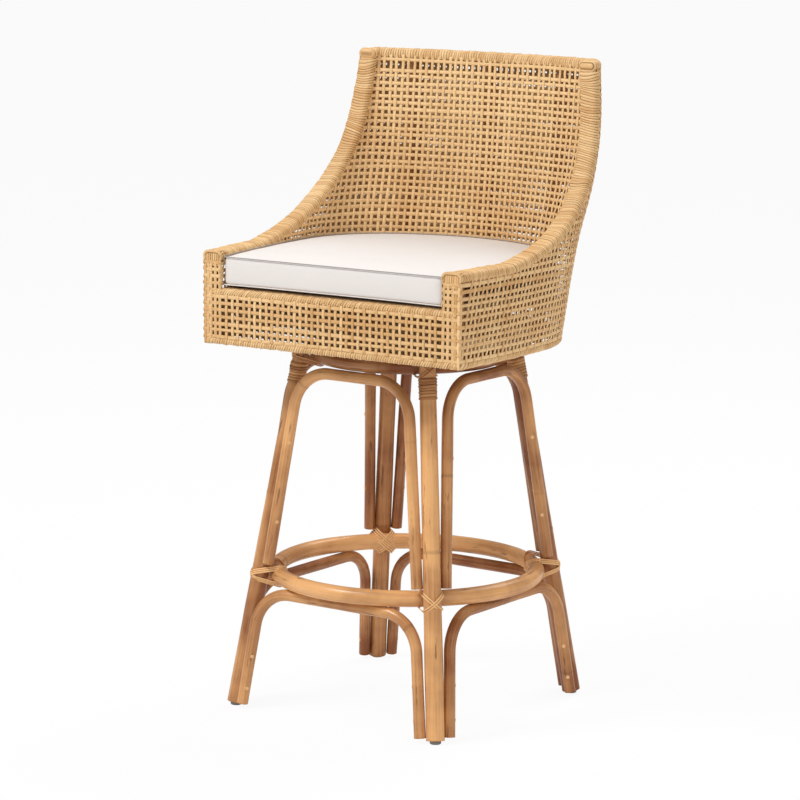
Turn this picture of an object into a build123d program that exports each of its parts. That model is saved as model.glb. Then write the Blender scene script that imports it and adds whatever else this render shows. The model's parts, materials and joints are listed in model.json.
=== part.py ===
"""Swivel bar stool in rattan: a four-legged pole base with a footrest ring, and a woven bucket seat.

Millimetres, +Z up, the front of the seat towards -Y, the floor at z = 0.
Every sketch is placed from the swivel axis, which stands a little in front of the middle of the stool.
"""
import os
from math import atan, atan2, cos, degrees, hypot, radians, sin, sqrt

from build123d import *

os.makedirs("parts", exist_ok=True)

# ---- fits -------------------------------------------------------------------------------------
seat_gap = 0.3  # between round pieces that are bound or screwed together
sleeve_gap = 0.1  # between a pole and the peel wound on it
bearing_gap = 0.05  # between a ball or pin and what it runs in
screw_gap = 0.1  # round a screw or plug in its hole

# ---- base -------------------------------------------------------------------------------------
swivel_y = -13.5  # the swivel axis, from the middle of the stool's depth
base_turn = -3.65  # how far the base stands turned from the seat, degrees
foot_half = 208.6  # from the axis to a leg's centre on the floor, along x and y
leg_slope = 0.1297  # how far a leg leans in, per mm of height, along x and y
leg_foot_radius = 15.6
leg_head_radius = 14.0
leg_head_z = 620.0
glide_height = 5.0
glide_radius = 9.5
glide_chamfer = 1.0

ring_z = 229.0
ring_tube = 14.0
hoop_z = 608.0
hoop_tube = 13.5

arch_tube = 9.8
arch_bend = 68.0
arch_seat_angle = 30.0  # where an arch's leg lies on a leg pole, measured outward from the side
upper_arch_foot_z = 250.0
upper_arch_lean = 0.09
lower_arch_foot_z = 8.0
lower_arch_lean = 0.10
upper_plug_z = (325.0, 462.0)
lower_plug_z = (36.0, 92.0)
plug_radius = 3.0
plug_depth = 5.0
plug_proud = 0.4

peel = 1.3  # thickness of the rattan peel in every wrap and lashing
lash_width = 4.6
lash_angle = 33.0
head_turns = 6
head_turn_pitch = 5.2
head_turn_groove = 0.7  # half the width of the groove between two turns

board_margin = 2.8  # how far the board runs past the hoop's centre line
board_thickness = 10.7
board_bore = 17.0
board_chamfer = 1.5

# ---- swivel bearing ---------------------------------------------------------------------------
plate_side = 200.0
plate_thickness = 3.0
plate_gap = 6.6
plate_corner = 10.0
screw_spacing = 170.0
screw_shank = 2.4
screw_head = 4.5
screw_head_height = 2.2
screw_length = 15.0
screw_cover = 1.0  # wood left over a screw's tip
head_chamfer = 0.8  # of the screws' and the pin's heads
ball_radius = 4.0
ball_circle = 75.0
ball_count = 16
cage_thickness = 1.2
cage_width = 20.0
pin_radius = 8.0
pin_head_radius = 13.0
pin_head_height = 2.4

# ---- seat -------------------------------------------------------------------------------------
front_y = -251.0  # front face of the seat, from the swivel axis
front_half = 250.0
seat_top_z = 1100.0
wall = 36.0  # from the outer weave to the inner weave
skin = 3.0
rim_tube = 7.0  # outside radius of the wrapped bottom hoop and front rail
rim_bend = 8.0  # of the bottom hoop's centre line at the seat's front corners
post_tube = 11.0
arm_top_z = 790.0
# the arm rail's centre line in the side view: distance behind the front face, share of the rise to the top
arm_line = ((60, 0), (110, 0), (160, 0.003), (266, 0.078), (337, 0.185), (395, 0.325), (441, 0.522),
            (464, 0.782))
arm_end = 471.0
arm_end_lean = 0.12  # how far the rail still runs back there, per mm of height
arm_trim = 6.0  # how far the arm rail runs on before it is cut level with the top
arm_steps = 16
front_rail_z = 721.0
stay_tube = 10.0
stay_inset = 15.0
side_stay_y = 0.0
back_stay_x = 150.0
shell_steps = 12
panel_split = 401.0  # how far behind the front face the side weave gives way to the back weave
batten_y = 70.0
batten_width = 60.0
batten_thickness = 16.0
ledger_tube = 7.0
ledger_drop = 5.0  # from the front rail's centre line down to the ledger's top
deck_thickness = 11.7
deck_bearing = 5.0
weave_gap = 1.4  # between the weave's edge and the rail above it
weave_pitch = 39.0  # of the plain grid of openings that stands for the open weave
weave_opening = 20.0
weave_border = 12.0  # left whole beside a rail or an edge
weave_columns = 9  # of openings across the back
apron_pitch = 30.0  # from the lower to the upper row of openings in the front
# the seat's outline at five heights: share of the seat's height, how far the side bulges past the front,
# how much narrower each half of the front is, rear corner's centre from the middle, back, bow radius
shell_levels = (
    (0.0, 14.0, 0.0, 24.0, 242.0, 300.0),
    (0.36, 20.0, 0.0, 85.0, 257.0, 400.0),
    (0.57, 16.0, 4.0, 160.0, 267.0, 650.0),
    (0.755, 12.0, 12.0, 200.0, 274.0, 850.0),
    (1.0, 8.0, 21.0, 199.0, 280.0, 1000.0),
)

# ---- cushion ----------------------------------------------------------------------------------
cushion_thickness = 56.0
cushion_clearance = 2.0
cushion_edge = 9.0
cushion_setback = 6.0

# ---- sizes worked out from the ones above -----------------------------------------------------
axis_point = (0, swivel_y, 0)
leg_tilt = atan(leg_slope * sqrt(2))
hoop_top = hoop_z + hoop_tube
board_bottom = hoop_top + 2 * sleeve_gap + peel
board_top = board_bottom + board_thickness
plate_low = board_top + plate_thickness
plate_high = plate_low + plate_gap
ball_z = plate_low + plate_gap / 2
batten_bottom = plate_high + plate_thickness
rim_top = batten_bottom
rim_z = rim_top - seat_gap - rim_tube
seat_bottom_z = rim_z - rim_tube
rail_pole = (wall / 2 - peel - seat_gap / 2 - 1.5 * sleeve_gap) / 2
rail_offset = rail_pole + seat_gap / 2
rail_height = 2 * (rail_pole + 2 * sleeve_gap + peel)
rail_z = arm_top_z - rail_height / 2
top_rail_z = seat_top_z - rail_height / 2
rail_underside = rail_height / 2 + seat_gap  # from a rail's centre line to what butts against it below
skin_top = sqrt((rail_height / 2) ** 2 - (rail_height / 2 - skin) ** 2) + weave_gap  # for the weave
skin_foot = sqrt(rim_tube**2 - (rim_tube - skin) ** 2) + seat_gap  # from a wrapped hoop to the weave
post_inset = skin + seat_gap + post_tube
ledger_inset = stay_inset + stay_tube + seat_gap + ledger_tube
ledger_z = front_rail_z - ledger_tube - ledger_drop
deck_bottom = ledger_z + ledger_tube + seat_gap
deck_top = deck_bottom + deck_thickness
deck_inset = ledger_inset + ledger_tube - deck_bearing
cushion_bottom = deck_top + seat_gap
cushion_top = cushion_bottom + cushion_thickness


def write(builder, name):
    builder.part.label = name
    export_step(builder.part, f"parts/{name}.step")


def level(z):
    """The horizontal plane at height z, with its origin on the swivel axis."""
    return Plane(origin=(0, swivel_y, z))


def side(k):
    """The frame of side k of the base: x along the side, -y outward, z up."""
    turn = radians(base_turn + 90 * k)
    return Plane(origin=axis_point, x_dir=(cos(turn), sin(turn), 0), z_dir=(0, 0, 1))


def leg_offset(z):
    return foot_half - leg_slope * z


def leg_radius(z):
    return leg_foot_radius + (leg_head_radius - leg_foot_radius) * z / leg_head_z


def leg_point(k, z):
    """The centre of leg k, the left-hand leg of side k, at height z."""
    return side(k).from_local_coords((-leg_offset(z), -leg_offset(z), z))


def ring_radius(z, tube):
    """The centre-line radius of a ring that lies against the inside of the four legs."""
    return leg_offset(z) * sqrt(2) - (leg_radius(z) + tube + seat_gap) / cos(leg_tilt)


def leg_plane(k, z):
    """The plane square to leg k's axis at height z."""
    return Plane(origin=leg_point(k, z), z_dir=leg_point(k, z + 1) - leg_point(k, z))


def round_section(path, radius):
    """The round section of a bar, at the start of its path."""
    with BuildSketch(Plane(origin=path @ 0, z_dir=path % 0)) as section:
        Circle(radius)
    return section.sketch


sides = ("front", "right", "rear", "left")
legs = ("front_left", "front_right", "rear_right", "rear_left")

# ---- legs -------------------------------------------------------------------------------------
for k, where in enumerate(legs):
    low, high = -2 * glide_height, leg_head_z + 2 * glide_height
    with BuildPart() as leg:
        with Locations(leg_plane(k, low)):
            Cone(leg_radius(low), leg_radius(high), (leg_point(k, high) - leg_point(k, low)).length,
                 align=(Align.CENTER, Align.CENTER, Align.MIN))
        split(bisect_by=Plane.XY.offset(glide_height), keep=Keep.TOP)
        split(bisect_by=Plane.XY.offset(leg_head_z), keep=Keep.BOTTOM)
    write(leg, f"leg_{where}")

with BuildPart() as foot_glides:
    for k in range(4):
        foot = leg_point(k, glide_height)
        with BuildSketch(Plane(origin=(foot.X, foot.Y, 0))):
            Circle(glide_radius)
        extrude(amount=glide_height)
    chamfer(foot_glides.edges().group_by(Axis.Z)[0], glide_chamfer)
write(foot_glides, "foot_glides")

# ---- rings ------------------------------------------------------------------------------------
with BuildPart(level(ring_z)) as footrest_ring:
    Torus(ring_radius(ring_z, ring_tube), ring_tube)
write(footrest_ring, "footrest_ring")

with BuildPart(level(hoop_z)) as top_hoop:
    Torus(ring_radius(hoop_z, hoop_tube), hoop_tube)
write(top_hoop, "top_hoop")


# ---- arches -----------------------------------------------------------------------------------
def arch_foot(foot_z):
    """Half span and distance from the axis of an arch's foot, which lies against the leg pole."""
    reach = leg_radius(foot_z) + arch_tube + seat_gap
    inward, outward = reach * cos(radians(arch_seat_angle)), reach * sin(radians(arch_seat_angle))
    return leg_offset(foot_z) - inward, leg_offset(foot_z) + outward


def plug_plane(k, hand, z, foot_z, lean):
    """The face of a plug on an arch's leg: it points away from the leg pole behind it."""
    half, out = arch_foot(foot_z)
    rise = z - foot_z
    x, y = hand * (half - leg_slope * rise), -(out - lean * rise)
    away = Vector(x - hand * leg_offset(z), y + leg_offset(z), 0).normalized()
    skin_point = Vector(x, y, z) + away * arch_tube
    frame = side(k)
    start = frame.from_local_coords(skin_point)
    return Plane(origin=start, z_dir=frame.from_local_coords(skin_point + away) - start)


def arch(k, foot_z, top_z, lean, plug_heights):
    """A pole bent into an upside-down U, with both legs along the leg poles of side k."""
    half, out = arch_foot(foot_z)
    frame = side(k)
    foot = frame.from_local_coords((0, -out, foot_z))
    up = frame.from_local_coords((0, -out + lean, foot_z + 1)) - foot
    plane = Plane(origin=foot, x_dir=frame.x_dir, z_dir=frame.x_dir.cross(up))
    height = (top_z - foot_z) * hypot(1, lean)
    top_half = half - leg_slope * (top_z - foot_z)
    with BuildPart() as bent:
        with BuildLine(plane) as path:
            FilletPolyline((-half, 0), (-top_half, height), (top_half, height), (half, 0), radius=arch_bend)
        sweep(sections=round_section(path.line, arch_tube), path=path.line)
        for hand in (-1, 1):
            for z in plug_heights:
                with Locations(plug_plane(k, hand, z, foot_z, lean)):
                    Cylinder(plug_radius + screw_gap, 2 * plug_depth, mode=Mode.SUBTRACT)
    return bent


arch_kinds = (
    ("upper_arch", upper_arch_foot_z, hoop_z - hoop_tube, upper_arch_lean, upper_plug_z),
    ("lower_arch", lower_arch_foot_z, ring_z - ring_tube, lower_arch_lean, lower_plug_z),
)
for name, foot_z, under, lean, plug_heights in arch_kinds:
    for k, where in enumerate(sides):
        write(arch(k, foot_z, under - arch_tube - seat_gap, lean, plug_heights), f"{name}_{where}")

with BuildPart() as arch_plugs:
    for name, foot_z, under, lean, plug_heights in arch_kinds:
        for k in range(4):
            for hand in (-1, 1):
                for z in plug_heights:
                    with Locations(plug_plane(k, hand, z, foot_z, lean).offset(-plug_depth)):
                        Cylinder(plug_radius, plug_depth + plug_proud,
                                 align=(Align.CENTER, Align.CENTER, Align.MIN))
write(arch_plugs, "arch_plugs")

# ---- peel bindings and lashings ---------------------------------------------------------------
head_binding_top = hoop_z - hoop_tube - seat_gap
with BuildPart() as leg_head_bindings:
    for k in range(4):
        across = leg_plane(k, head_binding_top)
        bore = leg_radius(head_binding_top - head_turns * head_turn_pitch) + sleeve_gap
        with BuildSketch(Plane(origin=across.origin, x_dir=across.x_dir, z_dir=-across.y_dir)):
            with BuildLine():
                turns = [(bore, 0)]
                for turn in range(head_turns):
                    top, bottom = -turn * head_turn_pitch, -(turn + 1) * head_turn_pitch
                    turns += [(bore + peel / 2, top), (bore + peel, top - head_turn_groove),
                              (bore + peel, bottom + head_turn_groove)]
                turns += [(bore + peel / 2, bottom), (bore, bottom)]
                Polyline(*turns, close=True)
            make_face()
        revolve(axis=Axis(across.origin, across.z_dir))
write(leg_head_bindings, "leg_head_bindings")


def lashing(k, z, tube):
    """Two crossing belts of peel that tie leg k to the ring against its inside at height z."""
    radius, leg_r = ring_radius(z, tube), leg_radius(z)
    out = (leg_point(k, z) - Vector(0, swivel_y, z)).normalized()
    along = Vector(0, 0, 1).cross(out)
    reach = 2 * radius
    with BuildPart() as belts:
        for tilt in (-lash_angle, lash_angle):
            across = along * cos(radians(tilt)) + Vector(0, 0, 1) * sin(radians(tilt))
            middle = Vector(0, swivel_y, z) + out * radius
            with Locations(Plane(origin=middle, x_dir=out, z_dir=out.cross(across))):
                Box(reach, reach, lash_width)
    with BuildPart() as lash:
        with Locations(level(z)):
            Torus(radius, tube + sleeve_gap + peel)
        with Locations(leg_plane(k, z)):
            Cylinder(leg_r + sleeve_gap + peel, reach)
        add(belts.part, mode=Mode.INTERSECT)
        with Locations(level(z)):
            Torus(radius, tube + sleeve_gap, mode=Mode.SUBTRACT)
        with Locations(leg_plane(k, z)):
            Cylinder(leg_r + sleeve_gap, reach, mode=Mode.SUBTRACT)
    return lash


for name, z, tube in (("footrest_lashings", ring_z, ring_tube), ("hoop_lashings", hoop_z, hoop_tube)):
    with BuildPart() as lashings:
        for k in range(4):
            add(lashing(k, z, tube).part)
    write(lashings, name)

# ---- base board and swivel bearing ------------------------------------------------------------
screw_corners = [(x * screw_spacing / 2, y * screw_spacing / 2) for x in (-1, 1) for y in (-1, 1)]
wood_depth = screw_length - plate_thickness + screw_gap
base_frame = side(0)


def base_level(z):
    return Plane(origin=(0, swivel_y, z), x_dir=base_frame.x_dir, z_dir=(0, 0, 1))


with BuildPart() as base_board:
    with BuildSketch(base_level(board_bottom)):
        Circle(ring_radius(hoop_z, hoop_tube) + board_margin)
        Circle(board_bore, mode=Mode.SUBTRACT)
    extrude(amount=board_thickness)
    chamfer(base_board.faces().sort_by(Axis.Z)[-1].outer_wire().edges(), board_chamfer)
    with BuildSketch(base_level(board_top)):
        with Locations(*screw_corners):
            Circle(screw_shank + screw_gap)
    extrude(amount=-min(wood_depth, board_thickness), mode=Mode.SUBTRACT)
write(base_board, "base_board")


def bearing_plate(plane, groove_plane):
    """One pressed plate of the swivel, with its screw holes, centre hole and ball groove."""
    with BuildPart() as plate:
        with BuildSketch(plane):
            RectangleRounded(plate_side, plate_side, plate_corner)
            Circle(pin_radius + bearing_gap, mode=Mode.SUBTRACT)
            with Locations(*screw_corners):
                Circle(screw_shank + 2 * screw_gap, mode=Mode.SUBTRACT)
        extrude(amount=plate_thickness)
        with Locations(groove_plane):
            Torus(ball_circle, ball_radius + bearing_gap, mode=Mode.SUBTRACT)
    return plate


write(bearing_plate(base_level(board_top), level(ball_z)), "swivel_lower_plate")
write(bearing_plate(level(plate_high), level(ball_z)), "swivel_upper_plate")

with BuildPart() as swivel_pin:
    with BuildSketch(level(board_top - pin_head_height)):
        Circle(pin_head_radius)
    extrude(amount=pin_head_height)
    with BuildSketch(level(board_top)):
        Circle(pin_radius)
    extrude(amount=batten_bottom + 2 * bearing_gap - board_top)
    with BuildSketch(level(batten_bottom + 2 * bearing_gap)):
        Circle(pin_head_radius)
    extrude(amount=pin_head_height)
    chamfer(swivel_pin.faces().sort_by(Axis.Z)[-1].edges(), head_chamfer)
write(swivel_pin, "swivel_pin")

with BuildPart() as bearing_balls:
    with Locations(level(ball_z)):
        with PolarLocations(ball_circle, ball_count):
            Sphere(ball_radius)
write(bearing_balls, "bearing_balls")

with BuildPart() as ball_cage:
    with BuildSketch(level(ball_z - cage_thickness / 2)):
        Circle(ball_circle + cage_width / 2)
        Circle(ball_circle - cage_width / 2, mode=Mode.SUBTRACT)
        with PolarLocations(ball_circle, ball_count):
            Circle(ball_radius + bearing_gap, mode=Mode.SUBTRACT)
    extrude(amount=cage_thickness)
write(ball_cage, "ball_cage")


def plate_screws(face, direction, wood):
    """Four pan-head screws through a plate into wood of this thickness, heads on the plate's face."""
    with BuildPart() as screws:
        with BuildSketch(face):
            with Locations(*screw_corners):
                Circle(screw_head)
        extrude(amount=-direction * screw_head_height)
        chamfer(screws.edges().group_by(Axis.Z)[0 if direction > 0 else -1], head_chamfer)
        with BuildSketch(face):
            with Locations(*screw_corners):
                Circle(screw_shank)
        extrude(amount=direction * min(screw_length, plate_thickness + wood - screw_cover))
    return screws


write(plate_screws(base_level(plate_low), -1, board_thickness), "base_plate_screws")
write(plate_screws(level(plate_high), 1, batten_thickness), "seat_plate_screws")

# ---- the seat's outline -----------------------------------------------------------------------
def outline_sizes(z):
    """Half width, front half width, corner radius, back and bow radius at height z.

    A cubic through the levels whose slope at each level is that of the line between its neighbours.
    """
    share = (z - seat_bottom_z) / (seat_top_z - seat_bottom_z)
    n = min(sum(share > level[0] for level in shell_levels[1:]), len(shell_levels) - 2)
    low, high = shell_levels[n:n + 2]
    before, after = shell_levels[max(n - 1, 0)], shell_levels[min(n + 2, len(shell_levels) - 1)]
    rise = high[0] - low[0]
    t = (share - low[0]) / rise
    bulge, narrowing, corner_x, back, bow = [
        (2 * t**3 - 3 * t**2 + 1) * a + (3 * t**2 - 2 * t**3) * b
        + (t**3 - 2 * t**2 + t) * rise * (b - start) / (high[0] - before[0])
        + (t**3 - t**2) * rise * (end - a) / (after[0] - low[0])
        for start, a, b, end in zip(before[1:], low[1:], high[1:], after[1:])]
    front = front_half - narrowing
    return front + bulge, front, front + bulge - corner_x, back, bow


def arc_centres(z):
    """The centre of the rear corner's arc (x, y) and of the back's bow (y), at height z."""
    half, _, corner, back, bow = outline_sizes(z)
    return half - corner, back - bow + sqrt((bow - corner) ** 2 - (half - corner) ** 2), back - bow


def side_x(y, z, inset):
    """Half the width of the outline, drawn in by inset, at depth y from the swivel axis."""
    half, front, corner = outline_sizes(z)[:3]
    corner_x, corner_y, _ = arc_centres(z)
    if y > corner_y:
        return corner_x + sqrt((corner - inset) ** 2 - (y - corner_y) ** 2)
    bend = ((half - front) ** 2 + (corner_y - front_y) ** 2) / (2 * (half - front))
    return half - bend + sqrt((bend - inset) ** 2 - (y - corner_y) ** 2)


def outline_arcs(z, inset, front_line):
    """The outline's arcs at height z behind front_line, from the right front round to the left front."""
    half, _, corner, _, bow = outline_sizes(z)
    corner_x, corner_y, bow_y = arc_centres(z)
    front_x = side_x(front_line, z, inset)
    end = degrees(atan2(corner_y - bow_y, corner_x))
    with BuildLine() as arcs:
        TangentArc((half - inset, corner_y), (front_x, front_line), tangent=(0, -1))
        CenterArc((corner_x, corner_y), corner - inset, 0, end)
        CenterArc((0, bow_y), bow - inset, end, 180 - 2 * end)
        CenterArc((-corner_x, corner_y), corner - inset, 180 - end, end)
        TangentArc((inset - half, corner_y), (-front_x, front_line), tangent=(0, -1))
    return arcs.line


def outline(z, inset, front=0.0):
    """The outline at height z as a face: inset from the wall's outside, front from the front face."""
    front_line = front_y + front
    front_x = side_x(front_line, z, inset)
    with BuildSketch(level(z)) as drawn:
        with BuildLine():
            add(outline_arcs(z, inset, front_line))
            Line((-front_x, front_line), (front_x, front_line))
        make_face()
    return drawn.sketch


def seat_point(x, y, z):
    return Vector(x, swivel_y + y, z)


def bar(path, outside, bore=0.0):
    """A round bar along a path, or a sleeve where it has a bore."""
    with BuildSketch(Plane(origin=path @ 0, z_dir=path % 0)) as section:
        Circle(outside)
        if bore:
            Circle(bore, mode=Mode.SUBTRACT)
    with BuildPart() as made:
        sweep(sections=section.sketch, path=path)
    return made.part


def bound_bar(name, path, radius, rooms):
    """A pole and the peel wound round it, with what they butt against cut away."""
    sleeve = (f"{name}_wrap", radius, radius - peel)
    for piece, outside, bore in ((name, radius - peel - sleeve_gap, 0.0), sleeve):
        with BuildPart() as bound:
            add(bar(path, outside, bore))
            for room in rooms:
                add(room, mode=Mode.SUBTRACT)
        write(bound, piece)


# ---- the seat's frame -------------------------------------------------------------------------
def twin_profiles(piece):
    """The profiles of a piece of a rail of two poles side by side, each with how it counts.

    A pole is one circle. The peel wound round both poles is a slot less the slot inside it.
    """
    with BuildSketch() as outside:
        if piece == "wrap":
            SlotOverall(wall, rail_height)
        else:
            with Locations((rail_offset if piece == "outer" else -rail_offset, 0)):
                Circle(rail_pole)
    if piece != "wrap":
        return [(outside.sketch, Mode.ADD)]
    with BuildSketch() as bore:
        SlotOverall(wall - 2 * peel, rail_height - 2 * peel)
    return [(outside.sketch, Mode.ADD), (bore.sketch, Mode.SUBTRACT)]


with BuildLine() as arm_side:
    Spline((0, 0), *[(back, share * (seat_top_z - rail_z)) for back, share in arm_line],
           (arm_end, seat_top_z - rail_z + arm_trim), tangents=((1, 0), (arm_end_lean, 1)))
# places along the arm rail's centre line in the side view, each with the direction there
arm_stations = [(arm_side.line @ (n / arm_steps), arm_side.line % (n / arm_steps))
                for n in range(arm_steps + 1)]


def arm_bar(piece, hand):
    """A piece of an arm rail: level over the arm, then up the edge of the back, square to the side view."""
    planes = []
    for place, along in arm_stations:
        y, z = front_y + place.X, rail_z + place.Y
        planes.append(Plane(origin=seat_point(hand * side_x(y, z, wall / 2), y, z), x_dir=(hand, 0, 0),
                            z_dir=(0, along.X, along.Y)))
    with BuildPart() as made:
        for profile, mode in twin_profiles(piece):
            loft([plane * profile for plane in planes], mode=mode)
        split(bisect_by=Plane.XY.offset(seat_top_z), keep=Keep.BOTTOM)
    return made


def top_bar(piece):
    """A piece of the top rail, which runs between the arm rails round the three rear arcs of the outline."""
    start = Plane(origin=top_path @ 0, x_dir=((top_path @ 0).X, 0, 0), z_dir=top_path % 0)
    guide = top_path.moved(Location((0, 0, wall)))
    with BuildPart() as made:
        for profile, mode in twin_profiles(piece):
            sweep(sections=start * profile, path=top_path, binormal=guide, mode=mode)
        split(bisect_by=behind(arm_end + rail_underside), keep=Keep.BOTTOM)
    return made


def upright(hand, radius, low, high):
    """A round upright where a front post stands."""
    with BuildPart() as post:
        with BuildSketch(level(low)):
            with Locations((hand * (front_half - post_inset), front_y + post_inset)):
                Circle(radius)
        extrude(amount=high - low)
    return post.part


def behind(distance):
    """The plane across the seat this far behind its front face."""
    return Plane.XZ.offset(-(swivel_y + front_y + distance))


hands = ((-1, "left"), (1, "right"))
with BuildSketch() as rim_line:
    add(outline(rim_z, rim_tube, front=rim_tube).moved(level(rim_z).location.inverse()))
    fillet(rim_line.vertices().group_by(Axis.Y)[0], rim_bend)
rim_path = rim_line.sketch.moved(level(rim_z).location).face().outer_wire()
post_rooms = [upright(hand, post_tube + seat_gap, seat_bottom_z, rail_z) for hand in (-1, 1)]
bound_bar("bottom_hoop", rim_path, rim_tube, [])

top_arcs = Wire(outline_arcs(top_rail_z, wall / 2, front_y + wall).edges().sort_by(Axis.Y)[2:])
top_path = top_arcs.moved(level(top_rail_z).location)
for piece in ("outer", "inner", "wrap"):
    for hand, where in hands:
        write(arm_bar(piece, hand), f"arm_rail_{where}_{piece}")
    write(top_bar(piece), f"top_rail_{piece}")

with BuildLine() as front_rail_line:
    Line(seat_point(post_inset - front_half, front_y + rim_tube, front_rail_z),
         seat_point(front_half - post_inset, front_y + rim_tube, front_rail_z))
bound_bar("front_rail", front_rail_line.line, rim_tube, post_rooms)

for hand, where in hands:
    with BuildPart() as front_post:
        add(upright(hand, post_tube, rim_top, rail_z - rail_underside))
    write(front_post, f"front_post_{where}")

# ---- stays, battens and deck ------------------------------------------------------------------
def back_y(x, z, inset):
    """How far back the outline, drawn in by inset, lies at x, from the swivel axis."""
    _, _, corner, _, bow = outline_sizes(z)
    corner_x, corner_y, bow_y = arc_centres(z)
    if abs(x) > corner_x * (bow - inset) / (bow - corner):
        return corner_y + sqrt((corner - inset) ** 2 - (abs(x) - corner_x) ** 2)
    return bow_y + sqrt((bow - inset) ** 2 - x**2)


def under_arms(drop):
    """All that lies lower than the arm rails' centre line dropped this far, square to itself."""
    edge = [(front_y + place.X + drop * along.Y, rail_z + place.Y - drop * along.X)
            for place, along in arm_stations]
    with BuildPart() as lower:
        with BuildSketch(Plane(origin=axis_point, x_dir=(0, 1, 0), z_dir=(1, 0, 0))):
            with BuildLine():
                Spline(*edge)
                Polyline(edge[-1], (front_half + wall, edge[-1][1]), (front_half + wall, seat_bottom_z),
                         (front_y, seat_bottom_z), edge[0])
            make_face()
        extrude(amount=front_half + wall, both=True)
    return lower.part


def stay(name, points):
    """A round stay between the two weaves, from the bottom hoop to the rail above it."""
    with BuildLine() as path:
        Spline(*points)
    with BuildPart() as pole:
        add(bar(path.line, stay_tube))
        split(bisect_by=Plane.XY.offset(rim_top), keep=Keep.TOP)
        split(bisect_by=Plane.XY.offset(top_rail_z - rail_underside), keep=Keep.BOTTOM)
        add(below_rails, mode=Mode.INTERSECT)
    write(pole, name)


below_rails = under_arms(rail_underside)
shell_heights = [seat_bottom_z + (seat_top_z - seat_bottom_z) * n / shell_steps for n in range(shell_steps + 1)]
for name, x in (("back_stay_left", -back_stay_x), ("back_stay_centre", 0), ("back_stay_right", back_stay_x)):
    stay(name, [seat_point(x, back_y(x, z, stay_inset), z) for z in shell_heights])
for hand, where in hands:
    stay(f"side_stay_{where}", [seat_point(hand * side_x(side_stay_y, z, stay_inset), side_stay_y, z)
                                for z in (seat_bottom_z, rail_z, rail_z + wall)])

for name, y in (("batten_front", -batten_y), ("batten_rear", batten_y)):
    with BuildPart() as batten:
        with BuildSketch(level(batten_bottom)):
            with Locations((0, y)):
                Rectangle(2 * outline_sizes(batten_bottom)[0], batten_width)
            add(outline(batten_bottom, skin + seat_gap).moved(level(batten_bottom).location.inverse()),
                mode=Mode.INTERSECT)
        extrude(amount=batten_thickness)
        with BuildSketch(level(batten_bottom)):
            with Locations(*[corner for corner in screw_corners if corner[1] * y > 0]):
                Circle(screw_shank + screw_gap)
        extrude(amount=wood_depth, mode=Mode.SUBTRACT)
    write(batten, name)

front_wire = outline_arcs(ledger_z, ledger_inset, front_y + post_tube)
with BuildPart() as deck_ledger:
    add(bar(Wire(front_wire.edges()).moved(level(ledger_z).location), ledger_tube))
    split(bisect_by=behind(post_inset + post_tube + seat_gap), keep=Keep.BOTTOM)
write(deck_ledger, "deck_ledger")

with BuildPart() as deck_board:
    with BuildSketch(level(deck_bottom)):
        add(outline(deck_bottom, deck_inset, front=2 * rim_tube + seat_gap)
            .moved(level(deck_bottom).location.inverse()))
    extrude(amount=deck_thickness)
    for room in post_rooms:
        add(room, mode=Mode.SUBTRACT)
write(deck_board, "deck_board")

# ---- weave panels -----------------------------------------------------------------------------
def shell_solid(inset):
    """The body inside the seat's outline, drawn in by inset, from the rim to the top."""
    with BuildPart() as body:
        loft([outline(z, inset) for z in shell_heights])
    return body.part


below_wraps = under_arms(skin_top)


def arm_height(y):
    """The height of the arm rails' centre line at depth y, taken at the station before it."""
    return max(rail_z + place.Y for place, _ in arm_stations if front_y + place.X <= y)


def weave_openings():
    """The blocks that open the weave: through both sides at once, and from the middle through the back."""
    half = weave_opening / 2
    low = rim_z + skin_foot + weave_border + half
    rows = [low + weave_pitch * n for n in range(int((top_rail_z - low) / weave_pitch) + 1)]
    back_rows = [z for z in rows if z + half + weave_border < top_rail_z - skin_top]
    columns = [(n - (weave_columns - 1) / 2) * weave_pitch for n in range(weave_columns)]
    first = front_y + skin + weave_border + half
    side_columns = [first + weave_pitch * n for n in range(int((panel_split - weave_border) / weave_pitch))]
    with BuildPart() as blocks:
        with BuildSketch(Plane(origin=axis_point, x_dir=(1, 0, 0), z_dir=(0, -1, 0))):
            with Locations(*[(x, z) for x in columns for z in back_rows]):
                Rectangle(weave_opening, weave_opening)
        extrude(amount=-2 * front_half)
        with BuildSketch(Plane(origin=axis_point, x_dir=(0, 1, 0), z_dir=(1, 0, 0))):
            with Locations(*[(y, z) for y in side_columns for z in rows
                             if z + half + weave_border < arm_height(y - half) - skin_top]):
                Rectangle(weave_opening, weave_opening)
        extrude(amount=2 * front_half, both=True)
    return blocks.part


def weave_layer(inset, low):
    """One layer of weave all round the seat, its outside drawn in by inset, from low up to the rails."""
    with BuildPart() as layer:
        add(shell_solid(inset))
        add(shell_solid(inset + skin), mode=Mode.SUBTRACT)
        add(below_wraps, mode=Mode.INTERSECT)
        split(bisect_by=Plane.XY.offset(top_rail_z - skin_top), keep=Keep.BOTTOM)
        split(bisect_by=Plane.XY.offset(low), keep=Keep.TOP)
        split(bisect_by=behind(skin + seat_gap), keep=Keep.BOTTOM)
        add(openings, mode=Mode.SUBTRACT)
    return layer.part


openings = weave_openings()
for layer_name, inset, low in (("outer", 0, rim_z + skin_foot), ("inner", wall - skin, cushion_bottom)):
    layer = weave_layer(inset, low)
    with BuildPart() as back_weave:
        add(layer)
        split(bisect_by=behind(panel_split), keep=Keep.BOTTOM)
    write(back_weave, f"{layer_name}_weave_back")
    for hand, where in hands:
        with BuildPart() as side_weave:
            add(layer)
            split(bisect_by=behind(panel_split), keep=Keep.TOP)
            split(bisect_by=Plane.YZ, keep=Keep.TOP if hand > 0 else Keep.BOTTOM)
        write(side_weave, f"{layer_name}_weave_{where}")

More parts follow.
